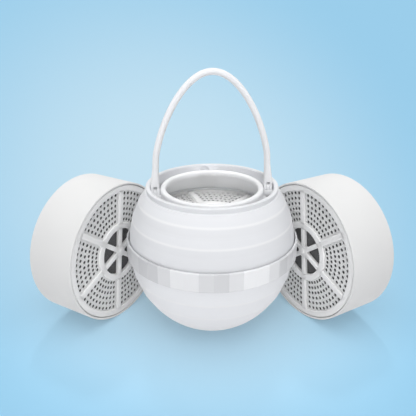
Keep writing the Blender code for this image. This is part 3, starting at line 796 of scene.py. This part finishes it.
# ---- The ball -------------------------------------------------------------------------------
@dataclass(frozen=True)
class Ball:
    """Sizes that the ball's pieces share, in millimetres."""

    radius: float = 58.0
    half_height: float = 64.4
    centre: float = 63.6
    ridge: float = 0.35
    ridge_reach: float = 5.0
    wall: float = 2.2
    band_radius: float = 60.0
    band_height: float = 13.2
    shoulder: float = 67.8
    neck_radius: float = 58.4
    neck_bore: float = 56.2
    neck_top: float = 66.0
    neck_floor: float = 57.5
    spigot_radius: float = 55.7
    spigot_bore: float = 53.9
    spigot_bottom: float = 58.0
    rim_bore: float = 42.2
    pivot_height: float = 103.2
    pivot_radius: float = 38.75

    @property
    def band_top(self) -> float:
        """Height of the band's upper edge."""
        return self.centre + self.band_height / 2

    @property
    def band_bottom(self) -> float:
        """Height of the band's lower edge."""
        return self.centre - self.band_height / 2

    def outline(self, z: np.ndarray, ridges: Sequence[float] = (), inset: float = 0.0) -> np.ndarray:
        """Points on the egg outline, with a soft edge that stands out at each ridge.

        r = (R - inset) sqrt(1 - ((z - c) / (H - inset))^2), plus for each ridge a tent whose top is
        rounded: ridge * (1 - d / reach) for d the smoothed distance to the ridge.

        Args:
            z: Heights.
            ridges: Heights of the ridges.
            inset: How far inside the outer face.

        Returns:
            Radius and height, (n, 2).
        """
        share = (z - self.centre) / (self.half_height - inset)
        r = (self.radius - inset) * np.sqrt(np.maximum(0.0, 1 - share**2))
        away = np.sqrt((z[:, None] - np.array(ridges)[None]) ** 2 + 0.3**2) - 0.3
        r = r + self.ridge * np.maximum(0.0, 1 - away / self.ridge_reach).sum(1)
        return np.stack([r, z], 1)


BALL = Ball()
INNER_TURN = math.radians(43.6)
INNER_FACE = 85.6  # Height of the inner cartridge's front face.


@dataclass(frozen=True)
class UpperShell:
    """White dome with a rim at the top, pockets for the funnel's tongues, and a spigot below."""

    ridges: tuple[float, float] = (84.2, 96.3)
    rim_top: float = 107.0
    rim_radius: float = 44.9
    crease: float = 103.1
    ledge: float = 99.9
    pocket_radius: float = 3.6
    pocket_height: float = 102.4
    pocket_depth: float = 1.2
    pocket_softness: float = 0.3

    def outline(self) -> np.ndarray:
        """Down the outer side, round the spigot and up the inner side."""
        outer = BALL.outline(np.linspace(self.crease, BALL.band_top, 110), self.ridges)
        inner = BALL.outline(np.linspace(BALL.band_top + BALL.wall, self.ledge, 24), (), BALL.wall)
        rim = rounded([
            (self.rim_radius - 0.6, self.rim_top - 2, 0), (BALL.rim_bore + 0.1, self.rim_top, 0.7),
            (self.rim_radius + 0.35, self.rim_top, 0.9), (self.rim_radius - 0.25, self.crease + 0.35, 0.2),
            (outer[0, 0] - 0.1, self.crease + 0.1, 0.0),
        ])[5:-5]  # The first and last corner only lead the curves in and out.
        foot = np.array([
            (outer[-1, 0], BALL.shoulder), (BALL.spigot_radius, BALL.shoulder),
            (BALL.spigot_radius, BALL.spigot_bottom), (BALL.spigot_bore, BALL.spigot_bottom),
            (BALL.spigot_bore, BALL.shoulder),
        ])
        bore = np.stack([np.full(30, BALL.rim_bore), np.linspace(self.ledge, self.rim_top - 0.6, 30)], 1)
        return np.vstack([rim, outer, foot, inner, bore])

    def build(self) -> None:
        """Turns the outline with angles crowded at the pockets, and sinks the pockets in the rim's bore.

        A point of the bore moves out by the pocket's depth where it lies inside the pocket's circle,
        and by less within the soft edge: clip((radius - distance) / softness, 0, 1) * depth.
        """
        coarse = np.radians(np.arange(0, 360, 2.5))
        fine = np.radians(np.arange(-6.5, 6.51, 0.25))
        angles = np.concatenate([coarse, fine + math.pi / 2, fine + 1.5 * math.pi])
        shape = revolve(self.outline(), np.unique(np.round(angles, 6)))
        x, y, z = shape.points.T
        r = np.hypot(x, y)
        away = np.hypot(x, z - self.pocket_height)
        in_bore = (np.abs(r - BALL.rim_bore) < 0.02) & (z < self.rim_top - 0.5)
        share = np.clip((self.pocket_radius - away) / self.pocket_softness, 0, 1)
        sink = share * self.pocket_depth * in_bore
        shape.points[:, :2] *= (1 + sink / np.maximum(r, 1e-6))[:, None]
        add_piece("upper_shell_skin", shape, SHELL_WHITE, Body.LID, "upper_shell")


@dataclass(frozen=True)
class LowerShell:
    """White bowl with terraces, a neck behind the band, ribs for the cartridge and a flat foot."""

    ridges: tuple[float, float] = (31.8, 44.4)
    foot_radius: float = 17.5
    foot_top: float = 2.2
    outlet_radius: float = 12.7
    pocket_radius: float = 15.3
    floor: float = 2.0
    ribs: int = 6
    rib_top: float = 47.3
    rib_height: float = 18.0
    rib_tip: float = 42.5
    rib_width: float = 1.8

    def outline(self) -> np.ndarray:
        """Down the outer side to the foot and up the inner side to the neck."""
        falling = (1 - np.cos(np.linspace(0, math.pi / 2, 90)))[::-1]
        outer = BALL.outline(self.foot_top + (BALL.band_bottom - self.foot_top) * falling, self.ridges)
        rising = 1 - np.cos(np.linspace(0, math.pi / 2, 40))
        share = 1 - (self.pocket_radius / (BALL.radius - BALL.wall)) ** 2
        low = BALL.centre - (BALL.half_height - BALL.wall) * math.sqrt(share)
        inner = BALL.outline(low + (BALL.neck_floor - BALL.wall - low) * rising, (), BALL.wall)
        foot = rounded([
            (self.foot_radius, self.foot_top, 0), (self.foot_radius, 0, 0.5), (self.outlet_radius, 0, 0.4),
            (self.outlet_radius, self.floor, 0.2), (self.pocket_radius, self.floor, 0),
        ])[4:]
        neck = rounded([
            (BALL.neck_bore, BALL.neck_floor, 0), (BALL.neck_bore, BALL.neck_top, 0.4),
            (BALL.neck_radius, BALL.neck_top, 0.4), (BALL.neck_radius, BALL.band_bottom + 0.3, 0),
        ])
        return np.vstack([outer, foot, inner, neck])

    def rib(self, angle: float) -> Shape:
        """One upright rib, drawn in radius and height and stood on its edge.

        Args:
            angle: Its direction.

        Returns:
            The rib.
        """
        z = np.linspace(self.rib_top - self.rib_height, self.rib_top, 10)
        edge = BALL.outline(z, (), BALL.wall / 2)
        tip = [(self.rib_tip, self.rib_top), (self.rib_tip, self.rib_top - self.rib_height / 4)]
        side = np.vstack([tip, edge])
        plate = slab(side, -self.rib_width / 2, self.rib_width / 2, 0.3)
        plate.points = plate.points[:, [0, 2, 1]]
        return plate.placed(turn_about_z(angle))

    def build(self) -> None:
        """Turns the bowl and stands the ribs in it."""
        ribs = [self.rib((i + 0.5) * TAU / self.ribs) for i in range(self.ribs)]
        shape = Shape.joined([revolve(self.outline(), 180), *ribs])
        add_piece("lower_shell_skin", shape, BOWL_WHITE, Body.BASE, "lower_shell")


@dataclass(frozen=True)
class Band:
    """Plated band with flat facets, a bright chamfer along its top and a plain bore."""

    wall: float = 1.3
    chamfer: float = 0.55
    chamfer_belly: float = 0.12

    def build(self) -> None:
        """Turns the outline in as many steps as the band has facets, so that each stays flat."""
        top, low = BALL.band_top, BALL.band_bottom
        r, c, belly = BALL.band_radius, self.chamfer, BALL.band_radius - self.chamfer_belly
        outline = np.array([
            (r - c, top), (belly, top - c * 0.8), (r, top - c), (r, low + c), (belly, low + c * 0.8),
            (r - c, low), (r - self.wall, low), (r - self.wall, top),
        ])
        shape = revolve(outline, BAND_TURN + np.arange(BAND_FACETS) * TAU / BAND_FACETS)
        add_piece("band_skin", shape, BAND_CHROME, Body.BASE, "chrome_band", crease=3.0)


@dataclass(frozen=True)
class OutletRose:
    """Perforated disc in the foot."""

    radius: float = 15.0
    low: float = 2.3
    thickness: float = 1.8
    hole: float = 1.2
    rows: tuple[float, float] = (11.0, 6.6)
    counts: tuple[int, int] = (3, 2)
    reaches: tuple[float, float] = (math.radians(20), math.radians(15))
    sectors: int = 6
    rim_bore: float = 13.0
    hub: float = 4.6
    seam: float = 0.2

    def build(self) -> None:
        """Two rows of round holes in six sectors, inside a solid rim and round a solid middle."""
        low, high, seam = self.low, self.low + self.thickness, self.seam
        edges = (self.rim_bore + seam, self.hub - seam)
        plate = perforated(self.rows, self.counts, self.reaches, edges, self.sectors, self.hole, low, high)
        rim = revolve(rounded([
            (self.radius, high, 0.3), (self.radius, low, 0.3), (self.rim_bore, low, 0.1),
            (self.rim_bore, high, 0.1),
        ]), 96)
        hub = revolve(rounded([
            (0.0, high + 0.3, 0), (self.hub, high + 0.3, 0.5), (self.hub, low, 0.1), (0.0, low, 0)
        ]), 48)
        shape = Shape.joined([plate, rim, hub])
        add_piece("outlet_rose_skin", shape, SHELL_WHITE, Body.BASE, "outlet_rose")


@dataclass(frozen=True)
class InletFunnel:
    """Ring with a rounded crest and a funnel under it, on four arms that hook under the rim."""

    ring_radius: float = 35.3
    bore: float = 31.4
    crest: float = 105.5
    ring_height: float = 3.6
    mouth: float = 44.95
    wall: float = 1.8
    bottom: float = 87.6
    flange: float = 3.8
    arm_floor: float = 99.75
    arm_thickness: float = 3.6
    key_top: float = 102.7
    key_width: float = 17.0
    lug_width: float = 11.6
    lug_radius: float = 2.95
    lug_thickness: float = 2.1
    cheek_tops: tuple[float, float] = (101.7, 103.1)
    root_depth: float = 1.5
    hook_top: float = 99.6
    hook_reach: float = 2.0
    tip_gap: float = 0.35

    @property
    def cone_top(self) -> float:
        """Height at which the cone meets the ring."""
        return self.crest - self.ring_height

    @property
    def slope(self) -> float:
        """How fast the cone widens downwards."""
        return (self.mouth - self.bore) / (self.cone_top - self.bottom)

    def ring(self) -> Shape:
        """The ring, the cone and the flange, as one outline turned about Z."""
        slope, cone_top = self.slope, self.cone_top
        thick = self.wall * math.hypot(1.0, slope)
        knee = cone_top - (self.ring_radius - self.bore - thick) / slope
        flange, flange_top = self.mouth + self.flange, self.bottom + self.wall
        outline = rounded([
            (self.bore, self.crest, 2.0), (self.ring_radius, self.crest, 1.8),
            (self.ring_radius, knee, 1.5), (self.mouth + thick - slope * self.wall, flange_top, 1.0),
            (flange, flange_top, 0.4), (flange, self.bottom, 0.4), (self.mouth, self.bottom, 0.3),
            (self.bore, cone_top, 1.6),
        ], 9)
        return revolve(outline, 180)

    def arm(self, angle: float, width: float, top: float, tip: float, low: float) -> Shape:
        """One arm: a plate whose end follows the rim, and whose root leans with the cone.

        The root ends inside the cone's wall: x' = s + (x - root) (tip - s) / (tip - root), for s the
        middle of the wall at that height.

        Args:
            angle: Its direction.
            width: Its width.
            top: Height of its top.
            tip: Radius of its end.
            low: Height of its underside.

        Returns:
            The arm.
        """
        half = width / 2
        root = self.bore + self.root_depth
        lean = np.linspace(-1, 1, 9) * math.asin(half / tip)
        end = np.stack([tip * np.cos(lean), tip * np.sin(lean)], 1)
        side = np.stack([np.linspace(root, end[0, 0], 6)[:-1], np.full(5, -half)], 1)
        outline = np.vstack([side, end, side[::-1] * (1, -1)])
        plate = slab(outline, low, top, 0.35)
        x, _, z = plate.points.T
        start = root + np.maximum(0.0, self.cone_top - z) * self.slope
        plate.points[:, 0] = start + (x - root) * (tip - start) / (tip - root)
        return plate.placed(turn_about_z(angle))

    def lug(self, side: int) -> Shape:
        """The upright lug between a fork's legs: a half disc on a post, with rounded edges.

        Args:
            side: -1 for the left lug and 1 for the right one.

        Returns:
            The lug.
        """
        t = np.linspace(0, math.pi, 25)
        post = np.linspace(self.arm_floor - 1.5, BALL.pivot_height, 5)[:-1]
        r = self.lug_radius
        left = np.stack([np.full(4, -r), post[::-1]], 1)
        right = np.stack([np.full(4, r), post], 1)
        crown = np.stack([r * np.cos(t), BALL.pivot_height + r * np.sin(t)], 1)
        plate = slab(np.vstack([right, crown, left]), -self.lug_thickness / 2, self.lug_thickness / 2, 0.35)
        return plate.stood(side * BALL.pivot_radius)

    def cheek(self, side: int, face: int) -> Shape:
        """One cheek of the cradle beside a fork. Its sloping top stops the loop at the end of its swing.

        Args:
            side: -1 for the left fork and 1 for the right one.
            face: -1 for the cheek in front of it and 1 for the one behind.

        Returns:
            The cheek.
        """
        near, far = self.lug_radius + 0.2, self.lug_radius + 3.0
        outline = rounded([
            (near, self.arm_floor - 1, 0.1), (near, self.cheek_tops[0], 0.5),
            (far, self.cheek_tops[1], 0.6), (far, self.arm_floor - 3, 0.1),
        ], 4) * (face, 1)
        start, end = sorted((side * (self.ring_radius - 0.8), side * (BALL.rim_bore - 0.7)))
        return slab(outline, start, end, 0.3).stood()

    def build(self) -> None:
        """Joins the ring, arms, hooks, cheeks and lugs."""
        floor = self.arm_floor - self.arm_thickness
        parts = [self.ring()]
        tip, hook_tip = BALL.rim_bore - self.tip_gap, BALL.rim_bore + self.hook_reach
        for quarter in range(4):
            angle = quarter * math.pi / 2
            width, top = ((self.lug_width, self.arm_floor), (self.key_width, self.key_top))[quarter % 2]
            parts.append(self.arm(angle, width, top, tip, floor))
            parts.append(self.arm(angle, width - 0.6, self.hook_top, hook_tip, floor + 0.3))
        parts += [self.lug(side) for side in (-1, 1)]
        parts += [self.cheek(side, face) for side in (-1, 1) for face in (-1, 1)]
        add_piece("inlet_funnel_skin", Shape.joined(parts), FUNNEL_WHITE, Body.LID, "inlet_funnel")


@dataclass(frozen=True)
class HangingLoop:
    """Flexible white tube bent over the inlet, flared at each end into a fork on its pivot."""

    height: float = 79.1
    bow: float = 1.15
    bow_start: float = 16.0
    bow_rise: float = 12.0
    tube: float = 2.2
    flare_x: float = 2.9
    flare_y: float = 2.75
    flare_length: float = 13.0
    squareness: float = 1.4
    end_angle: float = 0.053
    leg_inner: float = 1.15
    leg_radius: float = 2.95
    leg_height: float = 6.0
    leg_taper: float = 0.25

    def tube_shape(self) -> Shape:
        """An arch over the pivots, swept by a section that squares off towards the forks.

        x = a sin t - b sin 3t g and z = h cos t, where g eases from 0 beside the rim to 1 above it:
        an ellipse with a narrower top and legs that bow out.
        """
        t = np.linspace(-1, 1, 181) * (math.pi / 2 - self.end_angle)
        rise = self.height * np.cos(t)
        ease = np.clip((rise - self.bow_start) / self.bow_rise, 0, 1)
        bow = self.bow * np.sin(3 * t) * ease**2 * (3 - 2 * ease)
        path = np.stack([BALL.pivot_radius * np.sin(t) - bow, t * 0, BALL.pivot_height + rise], 1)
        along = np.gradient(path, axis=0)
        along /= np.linalg.norm(along, axis=1)[:, None]
        side = np.stack([along[:, 2], t * 0, -along[:, 0]], 1)
        above = path[:, 2] - path[0, 2]
        ease = np.clip(1 - above / self.flare_length, 0, 1)
        ease = ease**2 * (3 - 2 * ease)
        widths = self.tube + (np.array([self.flare_x, self.flare_y]) - self.tube) * ease[:, None]
        return sweep(path, side, widths, 2.0 + self.squareness * ease)

    def leg(self, side: int, half: int) -> Shape:
        """One leg of a fork: a plate with a round end about the pivot and soft edges.

        Args:
            side: -1 for the left fork and 1 for the right one.
            half: -1 for its left leg and 1 for its right one.

        Returns:
            The leg.
        """
        r = self.leg_radius
        t = np.linspace(math.pi, TAU, 25)
        rise = np.linspace(BALL.pivot_height, BALL.pivot_height + self.leg_height, 8)[1:]
        taper = r - self.leg_taper * ((rise - BALL.pivot_height) / self.leg_height)
        outline = np.vstack([
            np.stack([r * np.cos(t), BALL.pivot_height + r * np.sin(t)], 1), np.stack([taper, rise], 1),
            np.stack([-taper, rise], 1)[::-1],
        ])
        inner, outer = sorted((half * self.leg_inner, half * self.flare_x))
        return slab(outline, inner, outer, 0.45).stood(side * BALL.pivot_radius)

    def build(self) -> None:
        """Joins the tube and the four legs."""
        legs = [self.leg(side, half) for side in (-1, 1) for half in (-1, 1)]
        shape = Shape.joined([self.tube_shape(), *legs])
        add_piece("hanging_loop_skin", shape, LOOP_WHITE, Body.LOOP, "hanging_loop")


# ---- Cartridges -----------------------------------------------------------------------------
@dataclass(frozen=True)
class Cartridge:
    """Round filter cartridge: a can with a spoked plate in each end. Its front looks along +Z."""

    radius: float = 51.44
    height: float = 38.0
    lip: float = 1.4
    wall: float = 2.2
    gap: float = 0.3
    plate_thickness: float = 2.8
    recess: float = 1.5
    rim_width: float = 4.5
    hub_ring: float = 22.0
    hub_ring_width: float = 4.5
    spokes: int = 6
    spoke_width: float = 4.2
    inner_spoke_width: float = 3.4
    hub: float = 4.4
    rows: tuple[float, ...] = (43.5, 39.6, 35.7, 31.8, 27.9, 24.0)
    counts: tuple[int, ...] = (10, 9, 8, 8, 7, 6)
    hole: float = 1.22
    hole_margin: float = 2.7
    panel_thickness: float = 0.6
    groove: float = 0.25
    edge_rounding: float = 0.45
    overlap: float = 0.8
    panel_overlap: float = 0.6
    boss: float = 0.3
    button: float = 0.75

    def can(self) -> Shape:
        """Sleeve with soft edges and a seat for each end plate."""
        seat, r, edge = self.plate_thickness + 2 * self.gap, self.radius, self.radius - self.lip
        low = -self.height
        return revolve(rounded([
            (edge, 0, 0.35), (r, 0, 0.9), (r, low, 0.9), (edge, low, 0.35), (edge, low + seat, 0),
            (r - self.wall, low + seat, 0), (r - self.wall, -seat, 0), (edge, -seat, 0),
        ]), 180)

    def bar(self, start: float, end: float, width: float, top: float, low: float, angle: float) -> Shape:
        """A straight spoke with rounded upper edges.

        Args:
            start: Radius of its inner end.
            end: Radius of its outer end.
            width: Its width.
            top: Height of its face.
            low: Height of its underside.
            angle: Its direction.

        Returns:
            The spoke.
        """
        half, soft = width / 2, self.edge_rounding
        section = rounded([(-half, top, soft), (half, top, soft), (half, low, 0.1), (-half, low, 0.1)], 4)
        x = np.linspace(start, end, 3)
        points = np.column_stack([np.repeat(x, len(section)), np.tile(section, (3, 1))])
        middle = (top + low) / 2
        points = np.vstack([points, [(start, 0, middle), (end, 0, middle)]])
        return Shape(points, tube_faces(len(x), len(section))).placed(turn_about_z(angle))

    def ring(self, outer: float, inner: float, top: float, low: float) -> Shape:
        """A flat ring with rounded upper edges.

        Args:
            outer: Its outer radius.
            inner: Its inner radius.
            top: Height of its face.
            low: Height of its underside.

        Returns:
            The ring.
        """
        soft = self.edge_rounding
        corners = [(inner, top, soft), (outer, top, soft), (outer, low, 0.1), (inner, low, 0.1)]
        return revolve(rounded(corners), 180)

    def hub_shape(self, top: float, low: float) -> Shape:
        """The hub: a low boss with a button in its middle.

        Args:
            top: Height of the plate's face.
            low: Height of its underside.

        Returns:
            The hub.
        """
        boss, button = top + self.boss, top + self.button
        return revolve(rounded([
            (0, button, 0), (1.5, button, 0.4), (1.7, boss, 0.2), (self.hub, boss, 0.6),
            (self.hub, low, 0.1), (0, low, 0),
        ]), 72)

    def panel(self, top: float, low: float) -> Shape:
        """The perforated panels, whose rows keep one margin to the spokes.

        Args:
            top: Height of their face.
            low: Height of their underside.

        Returns:
            The panels of all sectors.
        """
        clear = self.spoke_width / 2 + self.hole_margin
        reaches = [math.pi / self.spokes - math.asin(clear / r) for r in self.rows]
        outer = self.radius - self.lip - self.gap - self.rim_width + self.panel_overlap
        edges = (outer, self.hub_ring - self.panel_overlap)
        return perforated(self.rows, self.counts, reaches, edges, self.spokes, self.hole, low, top)

    def plate(self, end: End) -> Shape:
        """An end plate, with its face just below the can's edge at height 0.

        Args:
            end: Which end it closes. The front one is perforated.

        Returns:
            The plate.
        """
        top, low = -self.gap, -self.gap - self.plate_thickness
        outer = self.radius - self.lip - self.gap - self.groove
        edge, ring_in = outer + self.groove - self.rim_width, self.hub_ring - self.hub_ring_width
        parts = [self.ring(outer, edge, top, low), self.ring(self.hub_ring, ring_in, top, low)]
        spans = ((self.hub_ring, edge, self.spoke_width), (self.hub, ring_in, self.inner_spoke_width))
        for i in range(self.spokes):
            for near, far, width in spans:
                start, tip = near - self.overlap, far + self.overlap
                parts.append(self.bar(start, tip, width, top, low, i * TAU / self.spokes))
        parts.append(self.hub_shape(top, low))
        if end is End.FRONT:
            parts.append(self.panel(top - self.recess, top - self.recess - self.panel_thickness))
        return Shape.joined(parts)

    def build(self, prefix: str, place: np.ndarray) -> None:
        """Adds the can and both end plates of one cartridge, and dresses its packed filling.

        Args:
            prefix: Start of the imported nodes' names.
            place: Where the middle of its front face lies, and how it is turned.
        """
        turned_over = np.diag([1.0, -1.0, -1.0, 1.0])
        turned_over[2, 3] = -self.height
        can = f"{prefix}_can"
        add_piece(f"{can}_skin", self.can().placed(place), CARTRIDGE_WHITE, Body.BASE, can)
        for end, matrix in ((End.FRONT, place), (End.REAR, place @ turned_over)):
            grille, shape = f"{prefix}_{end.value}_grille", self.plate(end).placed(matrix)
            add_piece(f"{grille}_skin", shape, PLATE_WHITE, Body.BASE, grille, crease=30.0)
            dress_node(f"{prefix}_{end.value}_felt", FELT_GREY)
        dress_node(f"{prefix}_granules", GRANULES)


@dataclass(frozen=True)
class SpareSet:
    """The two spare cartridges, which stand on their round sides and turn in towards the ball."""

    yaw: float = math.radians(58.1)
    off_band: float = 0.4
    shift: float = 28.9
    roll: float = math.radians(-7.2)

    def place(self, side: int, radius: float) -> np.ndarray:
        """Where a spare's front face lies.

        Args:
            side: -1 for the left one and 1 for the right one.
            radius: The cartridge's radius.

        Returns:
            A 4 by 4 matrix in millimetres.
        """
        normal = np.array([-side * math.sin(self.yaw), -math.cos(self.yaw), 0.0])
        along = np.array([-side * math.cos(self.yaw), math.sin(self.yaw), 0.0])
        matrix = np.eye(4)
        matrix[:3, 3] = -(BALL.band_radius + self.off_band) * normal - self.shift * along
        matrix[2, 3] = radius
        matrix[:3, 0], matrix[:3, 1], matrix[:3, 2] = -side * along, (0, 0, 1), normal
        return turn_about_z(VIEW_TURN) @ matrix @ turn_about_z(math.pi / 2 - side * self.roll)


# ---- The studio -----------------------------------------------------------------------------
@dataclass(frozen=True)
class Studio:
    """Pale blue ground, white cards, soft light and the camera."""

    ground: Colour = (0.345, 0.645, 0.868)
    # glow: the ground's colour in the middle of the painted pool of light.
    glow: Colour = (0.585, 0.8, 0.93)
    lift: float = 0.28
    haze: float = 0.96
    spot_depth: float = 0.45
    least_depth: float = 0.1
    spot_width: float = 2.86
    spot_rise: float = 0.733
    spot_middle: float = 1.1
    spot_fade: tuple[float, float] = (0.25, 1.4)
    focal_px: float = 549.0
    picture_px: float = 416.0
    sensor_mm: float = 36.0
    tilt: float = math.radians(22.7)
    eye: Place = (-2.7, -351.8, 236.3)
    ambient: float = 0.27
    air: Colour = (0.97, 0.985, 1.0)
    bounce: Colour = (0.8, 0.81, 0.83)
    card_white: Colour = (0.985, 0.99, 1.0)
    tent: float = 0.88
    card: float = 0.9
    tent_radius: float = 1500.0
    card_radius: float = 1490.0
    card_height: float = 0.4
    lamp_size: float = 0.04

    def add_sheet(self, name: str, points: np.ndarray, material: bpy.types.Material) -> bpy.types.Object:
        """Makes one sheet of the studio.

        Args:
            name: Its name.
            points: Rings of points in millimetres, (rings, steps, 3), of which the first is one point.
            material: Its material.

        Returns:
            The sheet.
        """
        faces = grid_faces(points.shape[0], points.shape[1], False, True)[:, ::-1]
        sheet = make_object(name, Shape(points.reshape(-1, 3), faces), material, closed=False)
        sheet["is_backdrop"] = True
        return sheet

    def lay_ground(self) -> None:
        """A wide round ground in rings: (r cos a, r sin a, 0), with r growing evenly in ratio.

        Its blue is lighter round the object, a painted pool of light in a spot that looks round from the
        front:
        for d the depth y + spot depth, a point is sqrt((width x / d)^2 + (rise / d - middle)^2) from the
        spot's middle.
        Part of the colour glows, so that shadows stay soft. Diffuse light that leaves it is grey, so
        that the white shells keep their colour.
        """
        angle = np.arange(96) * TAU / 96
        radius = np.concatenate([[0.0], np.geomspace(60, 14000, 40)])[:, None]
        flat = np.stack([radius * np.cos(angle), radius * np.sin(angle), 0 * radius + 0 * angle], -1)
        graph = Graph(bpy.data.materials.new("ground_paper"))
        x, y, _ = graph.axes()
        depth = (y + self.spot_depth).bent("MAXIMUM", self.least_depth)
        across, along = x * self.spot_width / depth, self.spot_rise / depth - self.spot_middle
        away = (across * across + along * along).bent("SQRT").ramp(*self.spot_fade)
        pool_tint = graph.mix(self.glow, self.ground, away)
        graph.set(Base_Color=graph.mix(pool_tint, (0.0, 0.0, 0.0), self.lift), Emission_Color=pool_tint)
        graph.set(Emission_Strength=self.lift, Roughness=1.0, Specular_IOR_Level=0.0)
        paper = Signal(graph, graph.tree.nodes["Principled BSDF"].outputs[0])
        grey = graph.node("ShaderNodeBsdfDiffuse", inputs={"Color": self.bounce})
        bounced = graph.node("ShaderNodeLightPath", output="Is Diffuse Ray")
        graph.show(graph.node("ShaderNodeMixShader", inputs={0: bounced, 1: paper, 2: grey}))
        self.add_sheet("ground", flat, graph.owner)

    def hang_cards(self) -> None:
        """A white tent and a white floor card that only reflections see, for the plated band.

        The tent is a dome: (R sin t cos a, R sin t sin a, R cos t). The card is a disc: (r cos a,
        r sin a, h).
        """
        angle = np.arange(48) * TAU / 48
        t = np.linspace(0, math.pi / 2, 13)[:, None]
        dome = np.stack([np.sin(t) * np.cos(angle), np.sin(t) * np.sin(angle), np.cos(t) + 0 * angle], -1)
        r = np.linspace(0, self.card_radius, 13)[:, None]
        disc = np.stack([r * np.cos(angle), r * np.sin(angle), 0 * r + 0 * angle + self.card_height], -1)
        for name, points, level in (
            ("light_tent", dome * self.tent_radius, self.tent), ("floor_card", disc, self.card)
        ):
            graph = Graph(bpy.data.materials.new(name))
            values = {"Color": self.card_white, "Strength": level}
            graph.show(graph.node("ShaderNodeEmission", inputs=values))
            sheet = self.add_sheet(name, points, graph.owner)
            sheet.visible_camera = sheet.visible_diffuse = sheet.visible_shadow = False
            sheet.visible_transmission = False

    def hang_lamp(self, name: str, kind: str, energy: float) -> tuple[bpy.types.Light, bpy.types.Object]:
        """Adds a lamp that reflections don't see.

        Args:
            name: Its name.
            kind: Its type.
            energy: Its energy.

        Returns:
            The lamp and its object.
        """
        lamp = bpy.data.lights.new(name, kind)
        lamp.energy = energy
        lit = bpy.data.objects.new(name, lamp)
        lit.visible_glossy = False
        bpy.context.scene.collection.objects.link(lit)
        return lamp, lit

    def light(self, name: str, towards: tuple[float, float], strength: float, spread: float) -> None:
        """A broad even light from far away.

        Args:
            name: Its name.
            towards: Azimuth from the camera's side to the right, and height, in degrees.
            strength: Brightness that it gives a white surface that faces it.
            spread: Its apparent width, in degrees.
        """
        lamp, lit = self.hang_lamp(name, "SUN", strength * math.pi)
        lamp.angle = math.radians(spread)
        lit.rotation_euler = (math.radians(90 - towards[1]), 0, math.radians(towards[0]) + VIEW_TURN)

    def spot(self, name: str, place: Place, aim: Place, reach: float, strength: float) -> None:
        """A soft-edged spot lamp with its snoot set to one part of the object.

        Args:
            name: Its name.
            place: Where it hangs, in millimetres from the camera's side.
            aim: What it points at, in the same way.
            reach: Radius of the lit circle, in millimetres.
            strength: Brightness that it gives a white surface that faces it.
        """
        turned = turn_about_z(VIEW_TURN)[:3, :3]
        start, end = turned @ np.array(place) * MM, turned @ np.array(aim) * MM
        way = Vector(end - start)
        lamp, lit = self.hang_lamp(name, "SPOT", strength * 4 * math.pi**2 * way.length**2)
        lamp.spot_size = 2 * math.atan(reach * MM / way.length)
        lamp.spot_blend = 1.0
        lamp.shadow_soft_size = self.lamp_size
        lit.location = start
        lit.rotation_euler = way.to_track_quat("-Z", "Y").to_euler()

    def fill_air(self) -> None:
        """Even world light, with the pale blue of the far ground where the camera or a reflection looks."""
        world = bpy.data.worlds.new("studio_air")
        graph = Graph(world)
        camera, glossy, through = (
            graph.node("ShaderNodeLightPath", output=f"Is {ray} Ray")
            for ray in ("Camera", "Glossy", "Transmission")
        )
        looked_at = camera.bent("MAXIMUM", glossy).bent("MAXIMUM", through)
        far = tuple(part * self.haze for part in self.ground)
        light = graph.node("ShaderNodeBackground", inputs={"Color": self.air, "Strength": self.ambient})
        backdrop = graph.node("ShaderNodeBackground", inputs={"Color": far})
        graph.show(graph.node("ShaderNodeMixShader", inputs={0: looked_at, 1: light, 2: backdrop}))
        bpy.context.scene.world = world

    def light_all(self) -> None:
        """Two broad lights, and spots on the inlet, the spares' faces and the spares' tops."""
        self.light("front", (0, 35), 0.3, 60)
        self.light("top", (0, 86), 0.5, 60)
        self.spot("mouth", (0, -320, 520), (0, 25, 94), 38, 0.62)
        for name, side in (("left", -1), ("right", 1)):
            self.spot(f"{name}_face", (-60 * side, -480, 200), (72 * side, -12, 56), 52, 0.16)
            self.spot(f"{name}_top", (150 * side, 300, 500), (90 * side, 10, 82), 54, 0.3)

    def set_camera(self) -> None:
        """The camera, fitted to the photograph: it looks down at the ball from the front."""
        data = bpy.data.cameras.new("camera")
        data.sensor_fit = "HORIZONTAL"
        data.sensor_width = self.sensor_mm
        data.lens = self.sensor_mm * self.focal_px / self.picture_px
        camera = bpy.data.objects.new("camera", data)
        camera.location = turn_about_z(VIEW_TURN)[:3, :3] @ np.array(self.eye) * MM
        camera.rotation_euler = (math.pi / 2 - self.tilt, 0, VIEW_TURN)
        bpy.context.scene.collection.objects.link(camera)
        bpy.context.scene.camera = camera

    def build(self) -> None:
        """Ground, light, camera and plain colour management."""
        self.lay_ground()
        self.hang_cards()
        self.fill_air()
        self.light_all()
        self.set_camera()
        bpy.context.scene.view_settings.view_transform = "Standard"
        LOG.info("studio ready")


def corners() -> list[list[float]]:
    """The shown object's lowest and highest corner, as plain lists."""
    return [[float(value) for value in corner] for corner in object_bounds()]


def main() -> None:
    """Builds the studio, the ball from the foot up, and the three cartridges."""
    logging.basicConfig(level=logging.INFO, format="%(message)s")
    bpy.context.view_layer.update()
    Studio().build()
    for part in (LowerShell(), Band(), OutletRose(), UpperShell(), InletFunnel(), HangingLoop()):
        part.build()
    for name, finish in (
        ("closure_seal", SEAL_GREY), ("funnel_seal", SEAL_PALE),
        ("pivot_pin_left", PIN_STEEL), ("pivot_pin_right", PIN_STEEL),
    ):
        dress_node(name, finish)
    cartridge, spares = Cartridge(), SpareSet()
    cartridge.build("inner", turn_about_z(INNER_TURN, INNER_FACE))
    cartridge.build("left", spares.place(-1, cartridge.radius))
    cartridge.build("right", spares.place(1, cartridge.radius))


if __name__ == "__main__":
    main()
